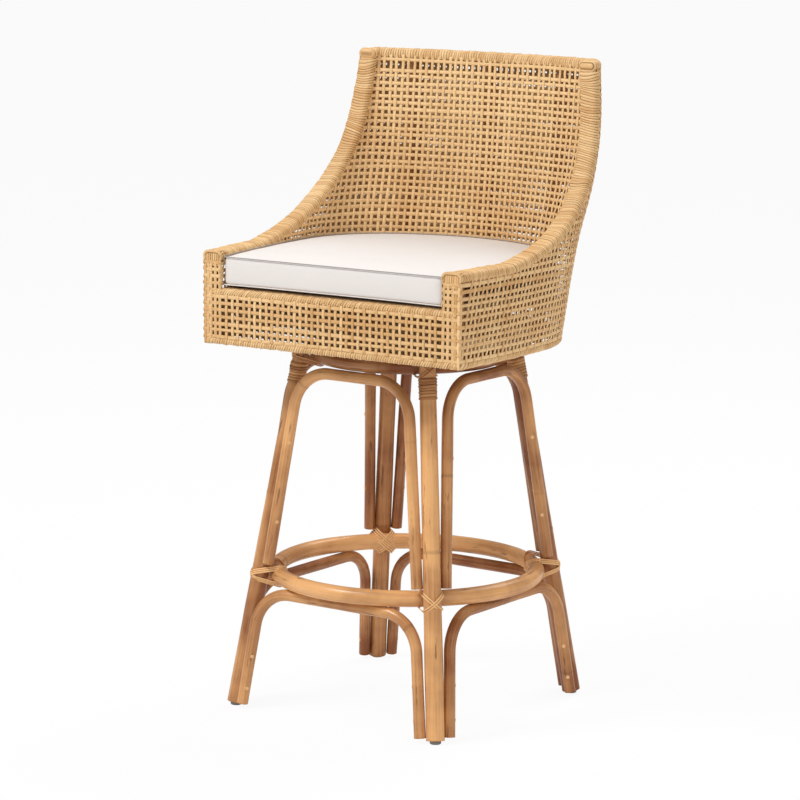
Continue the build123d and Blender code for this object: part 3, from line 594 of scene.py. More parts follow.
def rim_path():
    """The bottom hoop's centre line: round the sides and the back, then round both corners and the front."""
    z = np.array([RIM_Z])
    end = reach(z, RIM_TUBE, RIM_TUBE + RIM_BEND)[0]
    rest = outline(np.linspace(-end, end, 600), RIM_Z, RIM_TUBE)[0]
    corner = rest[-1] * (1, 0, 0) + (-RIM_BEND, FRONT + AXIS_Y + RIM_TUBE + RIM_BEND, RIM_Z)
    turn = np.linspace(0.1, math.pi / 2, 8)
    arc = corner + RIM_BEND * np.stack([np.cos(turn), -np.sin(turn), np.zeros(8)], axis=-1)
    front = np.linspace(arc[-1] * (0.98, 1, 1), arc[-1] * (-0.98, 1, 1), 200)
    return np.concatenate([rest, arc, front, arc[::-1] * (-1, 1, 1)])


# ---- poles ------------------------------------------------------------------------------------
def pipe(centres, side, lift, radius, places):
    """Circles round a path's points: cosines of the radius go sideways and sines go along lift."""
    angle = (np.arange(places) / places * 2 * math.pi)[:, None]
    return centres[:, None] + radius * (side[:, None] * np.cos(angle) + lift * np.sin(angle))


def pole_surface(name, path, radius, tone, dice, steady, closed=False, spacing=0.003):
    """A rattan pole along a path: a round section whose radius swells to a low ridge at each node.

    radius is a pair for the two ends, and tone is 0 for a pale pole and 1 for a dark one. A node is a
    ridge 3% proud and about 5 mm long with a dark line beyond it, which is faint on most. Between nodes
    the radius wanders by two slow waves, and the section is a little oval.
    """
    places, ridge_half, line_beyond, line_half = 20, 0.0024, 0.0032, 0.0017
    centres, run = along_path(path, spacing, closed)
    tangent = unit(np.gradient(centres, axis=0))
    if closed:
        tangent[0] = tangent[-1] = unit(centres[1] - centres[-1])
    side = unit(np.cross(tangent, steady))
    lift = np.cross(side, tangent)
    nodes = np.cumsum(dice.uniform(*NODE_GAPS, 12))
    kept = nodes < run[-1] - 0.02
    nodes, faint = nodes[kept], dice.uniform(*NODE_DARKNESS, len(nodes))[kept]
    near = run[:, None] - nodes[None, :]
    ridge = np.exp(-(near / ridge_half) ** 2).sum(axis=1)
    dark = (faint * np.exp(-((near - line_beyond) / line_half) ** 2)).sum(axis=1)
    taper = np.interp(run, [0, run[-1]], radius)
    wander = 0.012 * np.sin(run * 21 + dice.uniform(0, 6)) + 0.008 * np.sin(run * 47 + dice.uniform(0, 6))
    if closed:
        wander = wander * np.sin(math.pi * run / run[-1])
    size = taper * (1 + 0.030 * ridge - 0.018 * dark + wander)
    angle = np.arange(places) / places * 2 * math.pi
    oval = 1 + 0.012 * np.cos(2 * angle[None, :] + run[:, None] * 5)
    rings = pipe(centres, side, lift[:, None], (size[:, None] * oval)[..., None], places)
    fibre = triple(run[:, None] + dice.uniform(0, 9), (angle * np.mean(radius))[None, :], tone)
    return surface(name, rings[None], fibre[None], np.clip(dark, 0, 1)[None, :, None], closed)


def cord(name, path, radius):
    """A plain round cord along a closed path."""
    centres = along_path(path, 0.002, closed=True)[0]
    tangent = unit(np.roll(centres, -1, axis=0) - np.roll(centres, 1, axis=0))
    side = unit(np.cross(tangent, (0, 0, 1)))
    return surface(name, pipe(centres, side, np.array((0, 0, 1)), radius, 8)[None], 0.0, 0.0, closed=True)


def turned(points, quarter):
    """Points of the base's front side, turned to side quarter of the base and onto the swivel's axis."""
    turn = BASE_TURN + quarter * math.pi / 2
    spin = np.array([[math.cos(turn), math.sin(turn), 0], [-math.sin(turn), math.cos(turn), 0], [0, 0, 1]])
    return np.asarray(points) @ spin + (0, AXIS_Y, 0)


def leg_offset(z):
    return FOOT_HALF - LEG_SLOPE * z


def leg_radius(z):
    return LEG_FOOT + (LEG_HEAD - LEG_FOOT) * z / LEG_HEAD_Z


def leg_point(quarter, z):
    return turned([[-leg_offset(z), -leg_offset(z), z]], quarter)[0]


def ring_radius(z, tube):
    """The centre-line radius of a ring that lies against the inside of the four legs."""
    lean = math.atan(LEG_SLOPE * math.sqrt(2))
    return leg_offset(z) * math.sqrt(2) - (leg_radius(z) + tube + TOUCH) / math.cos(lean)


def circle(radius, z, count=240):
    angle = np.arange(count) / count * 2 * math.pi
    return np.stack([radius * np.cos(angle), radius * np.sin(angle) + AXIS_Y, np.full(count, z)], axis=-1)


def arch_path(foot_z, under, lean, quarter):
    """A bent pole's centre line: up a leg pole, over in an arc of the bend's radius, across and down."""
    seat = leg_radius(foot_z) + ARCH_TUBE + TOUCH
    half = leg_offset(foot_z) - seat * math.cos(ARCH_SEAT)
    out = leg_offset(foot_z) + seat * math.sin(ARCH_SEAT)
    top_z = under - ARCH_TUBE - TOUCH
    rise = top_z - foot_z
    top_half = half - LEG_SLOPE * rise
    up = np.array([half - top_half, rise]) / math.hypot(half - top_half, rise)
    tangent = ARCH_BEND * math.tan((math.pi - math.atan2(up[1], -up[0])) / 2)
    corner = np.array([-top_half, rise])
    before, after = corner - up * tangent, corner + (tangent, 0)
    middle = after + (0, -ARCH_BEND)
    start = math.atan2(before[1] - middle[1], before[0] - middle[0])
    turn = np.linspace(start, math.pi / 2, 24)
    arc = middle + ARCH_BEND * np.stack([np.cos(turn), np.sin(turn)], axis=-1)
    left = np.concatenate([np.linspace((-half, 0), before, 90), arc[1:]])
    flat = np.concatenate([left, (left * (-1, 1))[::-1]])
    points = np.stack([flat[:, 0], -(out - lean * flat[:, 1]), foot_z + flat[:, 1]], axis=-1)
    return turned(points, quarter)


def loop_round(quarter, z, tube, tilt, shift):
    """A taut loop round leg and ring in a plane tilted from the level: the hull of the two sections there.

    At each angle the hull's point is that of the section, an ellipse, that reaches further that way.
    """
    clear = 0.0009
    radial = leg_point(quarter, z) - (0, AXIS_Y, z)
    outward = unit(radial)
    level = np.cross((0, 0, 1), outward)
    across = level * math.cos(tilt) + np.array((0, 0, 1)) * math.sin(tilt)
    normal = np.cross(outward, across)
    angle = np.linspace(0, 2 * math.pi, 73)[:-1]
    ca, sa = np.cos(angle), np.sin(angle)
    sections = ((leg_radius(z) + clear, math.cos(tilt), float(np.dot(radial, outward))),
                (tube + clear, abs(math.sin(tilt)), ring_radius(z, tube)))
    made = []
    for a, slope, at in sections:
        b = a / slope
        support = np.sqrt((a * ca) ** 2 + (b * sa) ** 2)
        made.append((support + at * ca, at + a * a * ca / support, b * b * sa / support))
    first = made[0][0] > made[1][0]
    out_by, across_by = (np.where(first, *pair)[:, None] for pair in list(zip(*made))[1:])
    loop = (np.array((0, AXIS_Y, z)) + outward * out_by + across * across_by
            + normal * shift / math.cos(tilt))
    return loop, outward * ca[:, None] + across * sa[:, None]


def lashing_strands(name, z, tube, dice):
    """Crossed loops of peel at each leg, some strands each way, side by side."""
    thickness, over_the_other = 0.0014, 0.0009
    loops, ways = [], []
    for quarter, (strands, slope) in enumerate(LASHINGS):
        for tilt in (-math.radians(slope), math.radians(slope)):
            for shift in np.arange(strands) - (strands - 1) / 2:
                loop, out = loop_round(quarter, z, tube, tilt, shift * sizes().lashing_width)
                loops.append(loop + out * (over_the_other if tilt > 0 else 0.0))
                ways.append(out)
    centres, outward = np.array(loops), np.array(ways)
    along = unit(np.roll(centres, -1, axis=1) - np.roll(centres, 1, axis=1))
    across = unit(np.cross(along, outward))
    over, up = flat_section(sizes().lashing_width, thickness)
    rings = centres[:, :, None] + across[:, :, None] * over[:, None] + outward[:, :, None] * up[:, None]
    run = np.arange(centres.shape[1]) * 0.0016
    fibre = triple(run[:, None], over, dice.uniform(0, 1, (len(centres), 1, 1)))
    return surface(name, rings, fibre, 0.0, closed=True)


# ---- materials --------------------------------------------------------------------------------
def node(tree, kind, **settings):
    made = tree.nodes.new(kind)
    for name, value in settings.items():
        setattr(made, name, value)
    return made


def feed(tree, socket, value):
    """Gives a socket a number, a colour or another socket's value."""
    if isinstance(value, bpy.types.NodeSocket):
        tree.links.new(value, socket)
    elif isinstance(value, (int, float)):
        socket.default_value = value
    else:
        socket.default_value = (*value, 1.0)


def group(name, inputs, output, build):
    """A shader node group with one output, built once; inputs are names with their socket types."""
    if name in bpy.data.node_groups:
        return bpy.data.node_groups[name]
    tree = bpy.data.node_groups.new(name, "ShaderNodeTree")
    for label, kind in inputs:
        tree.interface.new_socket(label, in_out="INPUT", socket_type=kind)
    tree.interface.new_socket(output, in_out="OUTPUT", socket_type="NodeSocketFloat")
    made = build(tree, node(tree, "NodeGroupInput").outputs)
    tree.links.new(made, node(tree, "NodeGroupOutput").inputs[output])
    return tree


def grouped(tree, source, **values):
    made = node(tree, "ShaderNodeGroup", node_tree=source)
    for label, value in values.items():
        feed(tree, made.inputs[label], value)
    return made.outputs[0]


def math_node(tree, operation, first, second=0.0, clamp=False):
    made = node(tree, "ShaderNodeMath", operation=operation, use_clamp=clamp)
    feed(tree, made.inputs[0], first)
    feed(tree, made.inputs[1], second)
    return made.outputs[0]


def map_range(tree, value, low, high, to_low=0.0, to_high=1.0):
    made = node(tree, "ShaderNodeMapRange")
    for label, number in (("Value", value), ("From Min", low), ("From Max", high), ("To Min", to_low),
                          ("To Max", to_high)):
        feed(tree, made.inputs[label], number)
    return made.outputs[0]


def noise_node(tree, vector, scale, detail):
    made = node(tree, "ShaderNodeTexNoise")
    for label, value in (("Vector", vector), ("Scale", scale), ("Detail", detail)):
        feed(tree, made.inputs[label], value)
    return made.outputs["Fac"]


def split(tree, vector):
    made = node(tree, "ShaderNodeSeparateXYZ")
    tree.links.new(vector, made.inputs[0])
    return made.outputs


def own_place(tree):
    """The piece's own coordinates."""
    return node(tree, "ShaderNodeTexCoord").outputs["Object"]


def mix_colour(tree, factor, first, second):
    made = node(tree, "ShaderNodeMix", data_type="RGBA")
    for socket, value in ((made.inputs["Factor"], factor), (made.inputs[6], first), (made.inputs[7], second)):
        feed(tree, socket, value)
    return made.outputs[2]


def streaks_group():
    """Streaks that run along a strand: noise stretched along it, different on each strand."""
    def build(tree, given):
        fibre = split(tree, given["Fibre"])
        gathered = node(tree, "ShaderNodeCombineXYZ")
        for axis, scale in enumerate((given["Along"], given["Across"], 61.0)):
            tree.links.new(math_node(tree, "MULTIPLY", fibre[axis], scale), gathered.inputs[axis])
        return map_range(tree, noise_node(tree, gathered.outputs[0], 1.0, 3.0), 0.3, 0.7)
    return group("Streaks", (("Fibre", "NodeSocketVector"), ("Along", "NodeSocketFloat"),
                             ("Across", "NodeSocketFloat")), "Streak", build)


def patches_group():
    """Broad patches of tone over the whole piece, from noise on its own coordinates."""
    def build(tree, given):
        return map_range(tree, noise_node(tree, own_place(tree), given["Scale"], 4.0), 0.35, 0.65)
    return group("Patches", (("Scale", "NodeSocketFloat"),), "Patch", build)


def blank_material(name, **inputs):
    """A material, its node tree and its Principled shader, with these inputs set; _ stands for a space."""
    material = bpy.data.materials.new(name)
    material.use_nodes = True
    shader = material.node_tree.nodes["Principled BSDF"]
    for label, value in inputs.items():
        feed(material.node_tree, shader.inputs[label.replace("_", " ")], value)
    return material, material.node_tree, shader


def bump(tree, shader, height, strength, distance):
    made = node(tree, "ShaderNodeBump")
    for label, value in (("Strength", strength), ("Distance", distance), ("Height", height)):
        feed(tree, made.inputs[label], value)
    tree.links.new(made.outputs[0], shader.inputs["Normal"])


def fibre_material(name, pale, deep, dark, along, across, roughness, shade_and_node_share, chance_share,
                   patch_scale=6.0, patch_share=0.3, fleck=0.0, specular=0.25):
    """Rattan: pale to deep streaks along the fibre, a tone per strand, flecks, and dark painted shade on cane,
    node lines on poles.
    """
    material, tree, shader = blank_material(name, Specular_IOR_Level=specular)
    fibre = node(tree, "ShaderNodeAttribute", attribute_name="fibre").outputs["Vector"]
    mark = node(tree, "ShaderNodeAttribute", attribute_name="mark").outputs["Fac"]
    streak = grouped(tree, streaks_group(), Fibre=fibre, Along=along, Across=across)
    patches = grouped(tree, patches_group(), Scale=patch_scale)
    tone = math_node(tree, "MULTIPLY", split(tree, fibre)[2], chance_share)
    tone = math_node(tree, "ADD", tone, math_node(tree, "MULTIPLY", streak, 0.35))
    tone = math_node(tree, "ADD", tone, math_node(tree, "MULTIPLY", patches, patch_share))
    tone = math_node(tree, "SUBTRACT", tone, 0.03 + patch_share / 2, clamp=True)
    body = mix_colour(tree, tone, pale, deep)
    if fleck:
        flecks = grouped(tree, streaks_group(), Fibre=fibre, Along=along * 2.6, Across=across * 0.5)
        flecks = math_node(tree, "MULTIPLY", math_node(tree, "SUBTRACT", flecks, 0.84), 6.0, clamp=True)
        body = mix_colour(tree, math_node(tree, "MULTIPLY", flecks, fleck), body, dark)
    # painted shade on cane and peel, a node's dark line on poles
    shaded = math_node(tree, "MULTIPLY", mark, shade_and_node_share)
    feed(tree, shader.inputs["Base Color"], mix_colour(tree, shaded, body, dark))
    feed(tree, shader.inputs["Roughness"],
         map_range(tree, streak, 0.0, 1.0, roughness - 0.06, roughness + 0.12))
    bump(tree, shader, streak, 0.35, 0.0004)
    return material


def cane_material(name, chance_share, patch_share):
    c = colours()
    return fibre_material(name, c.cane, c.cane_deep, c.cane_shade, 30.0, 900.0, roughness=0.46,
                          shade_and_node_share=0.93, chance_share=chance_share, patch_share=patch_share)


def peel_material():
    c = colours()
    return fibre_material("peel", c.cane, c.cane_deep, c.cane_shade, 30.0, 700.0, roughness=0.42,
                          shade_and_node_share=0.95, chance_share=0.5)


def pole_material():
    c = colours()
    return fibre_material("pole", c.pole, c.pole_deep, c.pole_node, 7.0, 260.0, roughness=0.28,
                          shade_and_node_share=0.85, chance_share=0.85, patch_scale=9.0, patch_share=0.6, fleck=0.6,
                          specular=0.4)


def binding_material():
    c = colours()
    return fibre_material("binding", c.pole, c.pole_deep, c.pole_node, 30.0, 700.0, roughness=0.38,
                          shade_and_node_share=0.9, chance_share=0.6)


def lash_material():
    c = colours()
    return fibre_material("lash", between(c.cane, c.pole), c.pole, c.pole_node, 30.0, 900.0, roughness=0.38,
                          shade_and_node_share=0.8, chance_share=0.5)


def between(first, second):
    return tuple(0.5 * (a + b) for a, b in zip(first, second))


def darker(colour, share):
    return tuple(share * value for value in colour)


def grain_material(name, pale, deep, roughness, stretch, scale, metallic=0.0):
    """A board or a plate: noise stretched along one way on the piece's own coordinates."""
    material, tree, shader = blank_material(name, Roughness=roughness, Metallic=metallic)
    mapping = node(tree, "ShaderNodeMapping")
    mapping.inputs["Scale"].default_value = stretch
    tree.links.new(own_place(tree), mapping.inputs["Vector"])
    noise = noise_node(tree, mapping.outputs[0], scale, 5.0)
    feed(tree, shader.inputs["Base Color"], mix_colour(tree, noise, pale, deep))
    bump(tree, shader, noise, 0.2, 0.0003)
    return material


def linen_material(name, tint, shade):
    """Plain woven cloth: two sets of fine waves at right angles on the piece's own coordinates."""
    threads, wave_share = 1125.0, 0.3
    material, tree, shader = blank_material(name, Roughness=0.92, Sheen_Weight=0.25)
    place = own_place(tree)
    waves = [math_node(tree, "SINE", math_node(tree, "MULTIPLY", axis, threads * math.pi))
             for axis in split(tree, place)]
    crossed = math_node(tree, "MULTIPLY", waves[0], math_node(tree, "ADD", waves[1], waves[2]))
    slubs = noise_node(tree, place, 260.0, 4.0)
    broad = grouped(tree, patches_group(), Scale=9.0)
    tone = math_node(tree, "ADD", math_node(tree, "MULTIPLY", slubs, 0.5),
                     math_node(tree, "MULTIPLY", broad, 0.25), clamp=True)
    feed(tree, shader.inputs["Base Color"], mix_colour(tree, tone, tint, darker(tint, shade)))
    height = math_node(tree, "ADD", math_node(tree, "MULTIPLY", crossed, wave_share), slubs)
    bump(tree, shader, height, 0.25, 0.0003)
    return material


def dress(material, *names):
    """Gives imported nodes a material."""
    for name in names:
        slots = frame["nodes"][name].data.materials
        slots.clear()
        slots.append(material)


# ---- cushion ----------------------------------------------------------------------------------
def cushion_plan(grow, count):
    """The cushion's plan, grown outward: the outline inside the walls, round corners and a straight front."""
    inset, corner = WALL + 0.002, 0.007
    front = CUSHION_FRONT + AXIS_Y - grow
    end = reach(np.array([CUSHION_LOW]), inset, CUSHION_FRONT - FRONT + corner - grow)[0]
    rest = outline(np.linspace(-end, end, 400), CUSHION_LOW, inset, grow)[0][:, :2]
    turn = np.linspace(0.15, math.pi / 2, 8)
    middle = rest[-1] + (-corner, front + corner - rest[-1][1])
    arc = middle + corner * np.stack([np.cos(turn), -np.sin(turn)], axis=-1)
    straight = np.linspace(arc[-1] * (0.96, 1), arc[-1] * (-0.96, 1), 160)
    path = np.concatenate([rest, arc, straight, arc[::-1] * (-1, 1)])
    return along_path(path, 1.75 / count, closed=True)[0]


def box_of_cloth(edge, low, high):
    """A closed box over a plan: rings at shares of the way from middle to edge, up the side and back."""
    shares = (0.02, 0.25, 0.5, 0.75, 0.9, 0.985)
    profile = [(share, low) for share in shares]
    profile += [(1.0, low + (high - low) * t) for t in (0.06, 0.25, 0.5, 0.75, 0.94)]
    profile += [(share, high) for share in shares[::-1]]
    middle = edge.mean(axis=0)
    rings = np.array([np.column_stack([middle + (edge - middle) * share, np.full(len(edge), z)])
                      for share, z in profile])
    return surface("cushion_cover", rings[None], 0.0, 0.0)


def points_of(thing):
    points = np.empty(len(thing.data.vertices) * 3, np.float32)
    thing.data.vertices.foreach_get("co", points)
    return points.reshape(-1, 3)


def move_points(thing, points):
    thing.data.vertices.foreach_set("co", points.ravel())
    thing.data.update()


def lifted(points):
    """The filling holds the front edge up off the deck, its foot more than its top, most in the middle."""
    reach_back, foot, less_above = 0.075, 0.0055, 0.0065
    x, y, z = points.T
    share = np.clip((CUSHION_FRONT + AXIS_Y + reach_back - y) / reach_back, 0, 1)
    share = share**2 * (3 - 2 * share) * (1 - 0.35 * np.abs(x / FRONT_HALF) ** 3)
    height = np.clip((z - CUSHION_LOW) / (CUSHION_HIGH - CUSHION_LOW), 0, 1)
    return np.stack([x, y, z + share * (foot - less_above * height)], axis=-1).astype(np.float32)


def apply_modifier(thing, modifier):
    with bpy.context.temp_override(object=thing, active_object=thing):
        bpy.ops.object.modifier_apply(modifier=modifier.name)


def inflate(cushion, edge, low, high):
    """Cloth under pressure, held along its two seams; no point moves further than the cap."""
    cap, frames = 0.007, 20
    bpy.context.view_layer.objects.active = cushion
    remesh = cushion.modifiers.new("Remesh", "REMESH")
    remesh.mode, remesh.voxel_size = "VOXEL", 0.005
    apply_modifier(cushion, remesh)
    rest = points_of(cushion)
    gap = np.min(np.linalg.norm(rest[:, None, :2] - edge[None, ::2], axis=-1), axis=1)
    level = np.minimum(np.abs(rest[:, 2] - low), np.abs(rest[:, 2] - high))
    held = ((gap < 0.005) & (level < 0.004)) | (rest[:, 2] < low + 0.002)
    cushion.vertex_groups.new(name="seam").add([int(n) for n in np.flatnonzero(held)], 1.0, "REPLACE")
    cloth = cushion.modifiers.new("Cloth", "CLOTH")
    cloth.settings.use_pressure = True
    cloth.settings.uniform_pressure_force = 4.0
    cloth.settings.effector_weights.gravity = 0.0
    cloth.settings.vertex_group_mass = "seam"
    cloth.point_cache.frame_start, cloth.point_cache.frame_end = 1, frames
    for step in range(1, frames + 1):
        bpy.context.scene.frame_set(step)
    apply_modifier(cushion, cloth)
    shift = points_of(cushion) - rest
    far = np.linalg.norm(shift, axis=1, keepdims=True)
    move_points(cushion, rest + shift * np.minimum(1, cap / np.maximum(far, 1e-9)))
    bpy.context.scene.frame_set(1)
    smooth = cushion.modifiers.new("Subdivision", "SUBSURF")
    smooth.levels = smooth.render_levels = 1
    apply_modifier(cushion, smooth)
    cushion.data.shade_smooth()


# ---- stage ------------------------------------------------------------------------------------
def set_axes(thing, right, up, back, place):
    """Turns a thing's own x, y and z these ways and stands it at a place."""
    axes = np.column_stack([right, up, back, place])
    thing.matrix_world = Matrix(np.vstack([axes, (0, 0, 0, 1)]).tolist())


def disk_light(name, place, aim, size, power):
    lamp = bpy.data.lights.new(name, "AREA")
    lamp.shape, lamp.size, lamp.energy = "DISK", size, power
    back = unit(np.subtract(place, aim))
    side = unit(np.cross((0, 0, 1), back))
    set_axes(placed(name, lamp), side, np.cross(back, side), back, place)


def set_camera(scene):
    """The camera's axes: back from azimuth and elevation, then right and up, rolled about it."""
    a, e, r = CAMERA_AZIMUTH, CAMERA_ELEVATION, CAMERA_ROLL
    back = np.array([math.sin(a) * math.cos(e), -math.cos(a) * math.cos(e), math.sin(e)])
    right = unit(np.cross(-back, (0, 0, 1)))
    up = np.cross(right, -back)
    right, up = math.cos(r) * right + math.sin(r) * up, -math.sin(r) * right + math.cos(r) * up
    data = bpy.data.cameras.new("camera")
    data.lens, data.sensor_width, data.clip_end = CAMERA_LENS, CAMERA_SENSOR, 100.0
    scene.camera = placed("camera", data)
    set_axes(scene.camera, right, up, back, CAMERA_PLACE)


def lay_floor():
    """A wide level sheet, shown paler to the camera than it lights."""
    half, glow_share = 30.0, 0.92
    mesh = bpy.data.meshes.new("floor")
    mesh.from_pydata([(x * half, y * half, 0) for x, y in ((-1, -1), (1, -1), (1, 1), (-1, 1))],
                     [], [(0, 1, 2, 3)])
    material, tree, shader = blank_material("floor", Base_Color=colours().floor, Roughness=0.9)
    seen = node(tree, "ShaderNodeLightPath").outputs["Is Camera Ray"]
    blend(tree, math_node(tree, "MULTIPLY", seen, glow_share), shader, node(tree, "ShaderNodeEmission"),
          tree.nodes["Material Output"])
    mesh.materials.append(material)
    placed("floor", mesh)


def light_world(scene):
    """Even light from all round, dimmer in reflections, and white where the camera sees it."""
    even, in_reflections = 0.52, 0.22
    scene.world = bpy.data.worlds.new("studio")
    scene.world.use_nodes = True
    tree = scene.world.node_tree
    plain, white = tree.nodes["Background"], node(tree, "ShaderNodeBackground")
    plain.inputs["Color"].default_value = (1.0, 0.985, 0.96, 1.0)
    white.inputs["Color"].default_value = (1.0, 1.0, 1.0, 1.0)
    ray = node(tree, "ShaderNodeLightPath").outputs
    strength = map_range(tree, ray["Is Glossy Ray"], 0.0, 1.0, even, in_reflections)
    feed(tree, plain.inputs["Strength"], strength)
    seen = math_node(tree, "MAXIMUM", ray["Is Camera Ray"], ray["Is Transmission Ray"])
    blend(tree, seen, plain, white, tree.nodes["World Output"])


def blend(tree, share, first, second, output):
    """Mixes two shaders by a share of the second and puts the result out."""
    mix = node(tree, "ShaderNodeMixShader")
    for socket, value in zip(mix.inputs, (share, first.outputs[0], second.outputs[0])):
        tree.links.new(value, socket)
    tree.links.new(mix.outputs[0], output.inputs["Surface"])


# ---- operators --------------------------------------------------------------------------------
class STOOL_OT_stage(bpy.types.Operator):
    """The camera, the pale floor and the soft light"""
    bl_idname = "stool.stage"
    bl_label = "Stage"

    def execute(self, context):
        scene = context.scene
        scene.view_settings.view_transform = "Standard"
        set_camera(scene)
        lay_floor()
        light_world(scene)
        disk_light("key", (-2.0, -2.8, 4.3), (0, 0, 0.6), 1.8, 148.0)
        disk_light("fill", (3.6, -2.2, 2.2), (0, 0, 0.6), 3.0, 30.0)
        disk_light("back", (0.4, 2.4, 3.8), (0, 0, 0.8), 2.4, 72.0)
        return {"FINISHED"}


class STOOL_OT_poles(bpy.types.Operator):
    """The rattan poles of the base: legs, arches, footrest ring and top hoop"""
    bl_idname = "stool.poles"
    bl_label = "Poles"

    def execute(self, context):
        dice, pole = np.random.default_rng(seed=13), pole_material()
        # a tone for each pole; the front right leg's pale tone and the rear right leg's dark one are partly
        # their own colour, partly painted light on the lit front and painted shade on the shaded side
        legs = (("front_left", 0.50), ("front_right", 0.0), ("rear_right", 0.95), ("rear_left", 0.62))
        for quarter, (where, tone) in enumerate(legs):
            path = np.linspace(leg_point(quarter, GLIDE), leg_point(quarter, LEG_HEAD_Z), 200)
            thing = pole_surface(f"leg_pole_{where}", path, (leg_radius(GLIDE), LEG_HEAD), tone, dice,
                                 (0, 1, 0))
            finish_piece(thing, pole, "base", "rattan_pole", f"leg_{where}")
        for kind, (foot_z, under, lean) in ARCHES.items():
            for quarter, (where, tone) in enumerate(zip(SIDES, (0.26, 0.56, 0.86, 0.86))):
                steady = turned([(0, -1, lean)], quarter)[0] - (0, AXIS_Y, 0)
                thing = pole_surface(f"{kind}_arch_pole_{where}", arch_path(foot_z, under, lean, quarter),
                                     (ARCH_TUBE, ARCH_TUBE), tone, dice, steady)
                finish_piece(thing, pole, "base", "rattan_pole", f"{kind}_arch_{where}")
        for name, z, tube, tone in (("footrest_ring", RING_Z, RING_TUBE, 0.06),
                                    ("top_hoop", HOOP_Z, HOOP_TUBE, 0.80)):
            thing = pole_surface(f"{name}_pole", circle(ring_radius(z, tube), z), (tube, tube), tone, dice,
                                 (0, 0, 1), closed=True)
            finish_piece(thing, pole, "base", "rattan_pole", name)
        return {"FINISHED"}


class STOOL_OT_lashings(bpy.types.Operator):
    """The peel bound round the leg heads and the crossed lashings at ring and hoop"""
    bl_idname = "stool.lashings"
    bl_label = "Bindings and lashings"

    def execute(self, context):
        dice, pitch = np.random.default_rng(seed=14), sizes().binding_pitch
        proud, groove = 0.0016, 0.0011
        binding, lash = binding_material(), lash_material()
        high = HOOP_Z - HOOP_TUBE - TOUCH
        low_box, high_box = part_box("leg_head_bindings")
        turns = round((high_box[2] - low_box[2]) / pitch)
        around = round_section(2 * (leg_radius(high) + proud), 24)
        made = []
        for quarter in range(4):
            ends = [leg_point(quarter, z) for z in (high - turns * pitch, high)]
            steady = np.cross(ends[1] - ends[0], (1, 0, 0))
            made.append(wound(f"binding_{quarter}", np.linspace(*ends, 20), steady, around, pitch, groove,
                              dice, rounded=0.0012, fan=0.12))
        finish_piece(join("head_bindings", made), binding, "base", "rattan_lashing", "leg_head_bindings")
        for name, z, tube, material in (("footrest_lashings", RING_Z, RING_TUBE, lash),
                                        ("hoop_lashings", HOOP_Z, HOOP_TUBE, binding)):
            finish_piece(lashing_strands(f"{name}_strands", z, tube, dice), material, "base",
                         "rattan_lashing", name)
        return {"FINISHED"}


class STOOL_OT_weave(bpy.types.Operator):
    """The open cane weave of the seat's walls, outside, inside and across the front"""
    bl_idname = "stool.weave"
    bl_label = "Weave"

    def execute(self, context):
        dice = np.random.default_rng(seed=11)
        # the inner weave's cane is painted paler: painted light, for the light that comes through the back
        # onto it
        cane, pale = cane_material("cane", 0.6, 0.3), cane_material("cane_pale", 0.26, 0.34)
        # the sixth entry is painted shade on a strand's hidden side: none on the outer layer, full on the
        # inner layer's face toward the outer
        outer = ("outer", cane, SKIN / 2, WEAVE_FOOT, 1.0, 0.0, 0.0)
        inner = ("inner", pale, WALL - SKIN / 2, CUSHION_LOW, -1.0, 1.0, -0.13)
        for layer, material, inset, low, face, hidden, offset in (outer, inner):
            nodes = [f"{layer}_weave_{where}" for where in ("left", "right", "back")]
            for part, made in (("rows", woven_rows), ("uprights", woven_uprights)):
                thing = made(f"{layer}_{part}", inset, low, dice, face, hidden, offset)
                finish_piece(thing, material, "seat", "rattan_weave", *nodes)
        finish_piece(front_weave(dice), cane, "seat", "rattan_weave", "outer_weave_front")
        return {"FINISHED"}


class STOOL_OT_wraps(bpy.types.Operator):
    """The peel wound round the arm rails, over their upper ends along the top, and round rail and hoop"""
    bl_idname = "stool.wraps"
    bl_label = "Wraps"

    def execute(self, context):
        dice, peel = np.random.default_rng(seed=12), peel_material()
        turns = sizes().peel_pitch, sizes().peel_groove, dice
        rail, rim = slot_section(WALL, RAIL_HEIGHT, 36), round_section(2 * RIM_TUBE, 20)
        upright = tuple(part[:, ::-1] for part in rail)
        for where, hand in HANDS.items():
            path = arm_path(hand)[1:]
            path = path[path[:, 2] < SEAT_TOP - RAIL_HEIGHT + 0.004]
            wrap = wound(f"arm_wrap_{where}", path, (1, 0, 0), upright, *turns, rounded=0.006, fan=0.75)
            wrap = join(wrap.name, [wrap, arm_end(hand, dice)])
            finish_piece(wrap, peel, "seat", "rattan_peel",
                         *[f"arm_rail_{where}_{piece}" for piece in ("wrap", "outer", "inner")])
        end = reach(np.array([TOP_RAIL_Z]), WALL / 2, -0.010)[0]
        path = outline(np.linspace(-end, end, 400), TOP_RAIL_Z, WALL / 2)[0]
        wrap = wound("top_wrap", path, (0, 0, 1), rail, *turns, rounded=0.0085, fan=0.5)
        finish_piece(wrap, peel, "seat", "rattan_peel", "top_rail_wrap", "top_rail_outer", "top_rail_inner")
        wrap = wound("rim_wrap", rim_path(), (0, 0, 1), rim, *turns, closed=True, slant=4)
        finish_piece(wrap, peel, "seat", "rattan_peel", "bottom_hoop_wrap")
        y = FRONT + AXIS_Y + RIM_TUBE
        path = np.linspace((-FRONT_RAIL_HALF, y, FRONT_RAIL_Z), (FRONT_RAIL_HALF, y, FRONT_RAIL_Z), 60)
        wrap = wound("front_rail_wrap_turns", path, (0, 0, 1), rim, *turns, slant=4)
        finish_piece(wrap, peel, "seat", "rattan_peel", "front_rail_wrap")
        return {"FINISHED"}


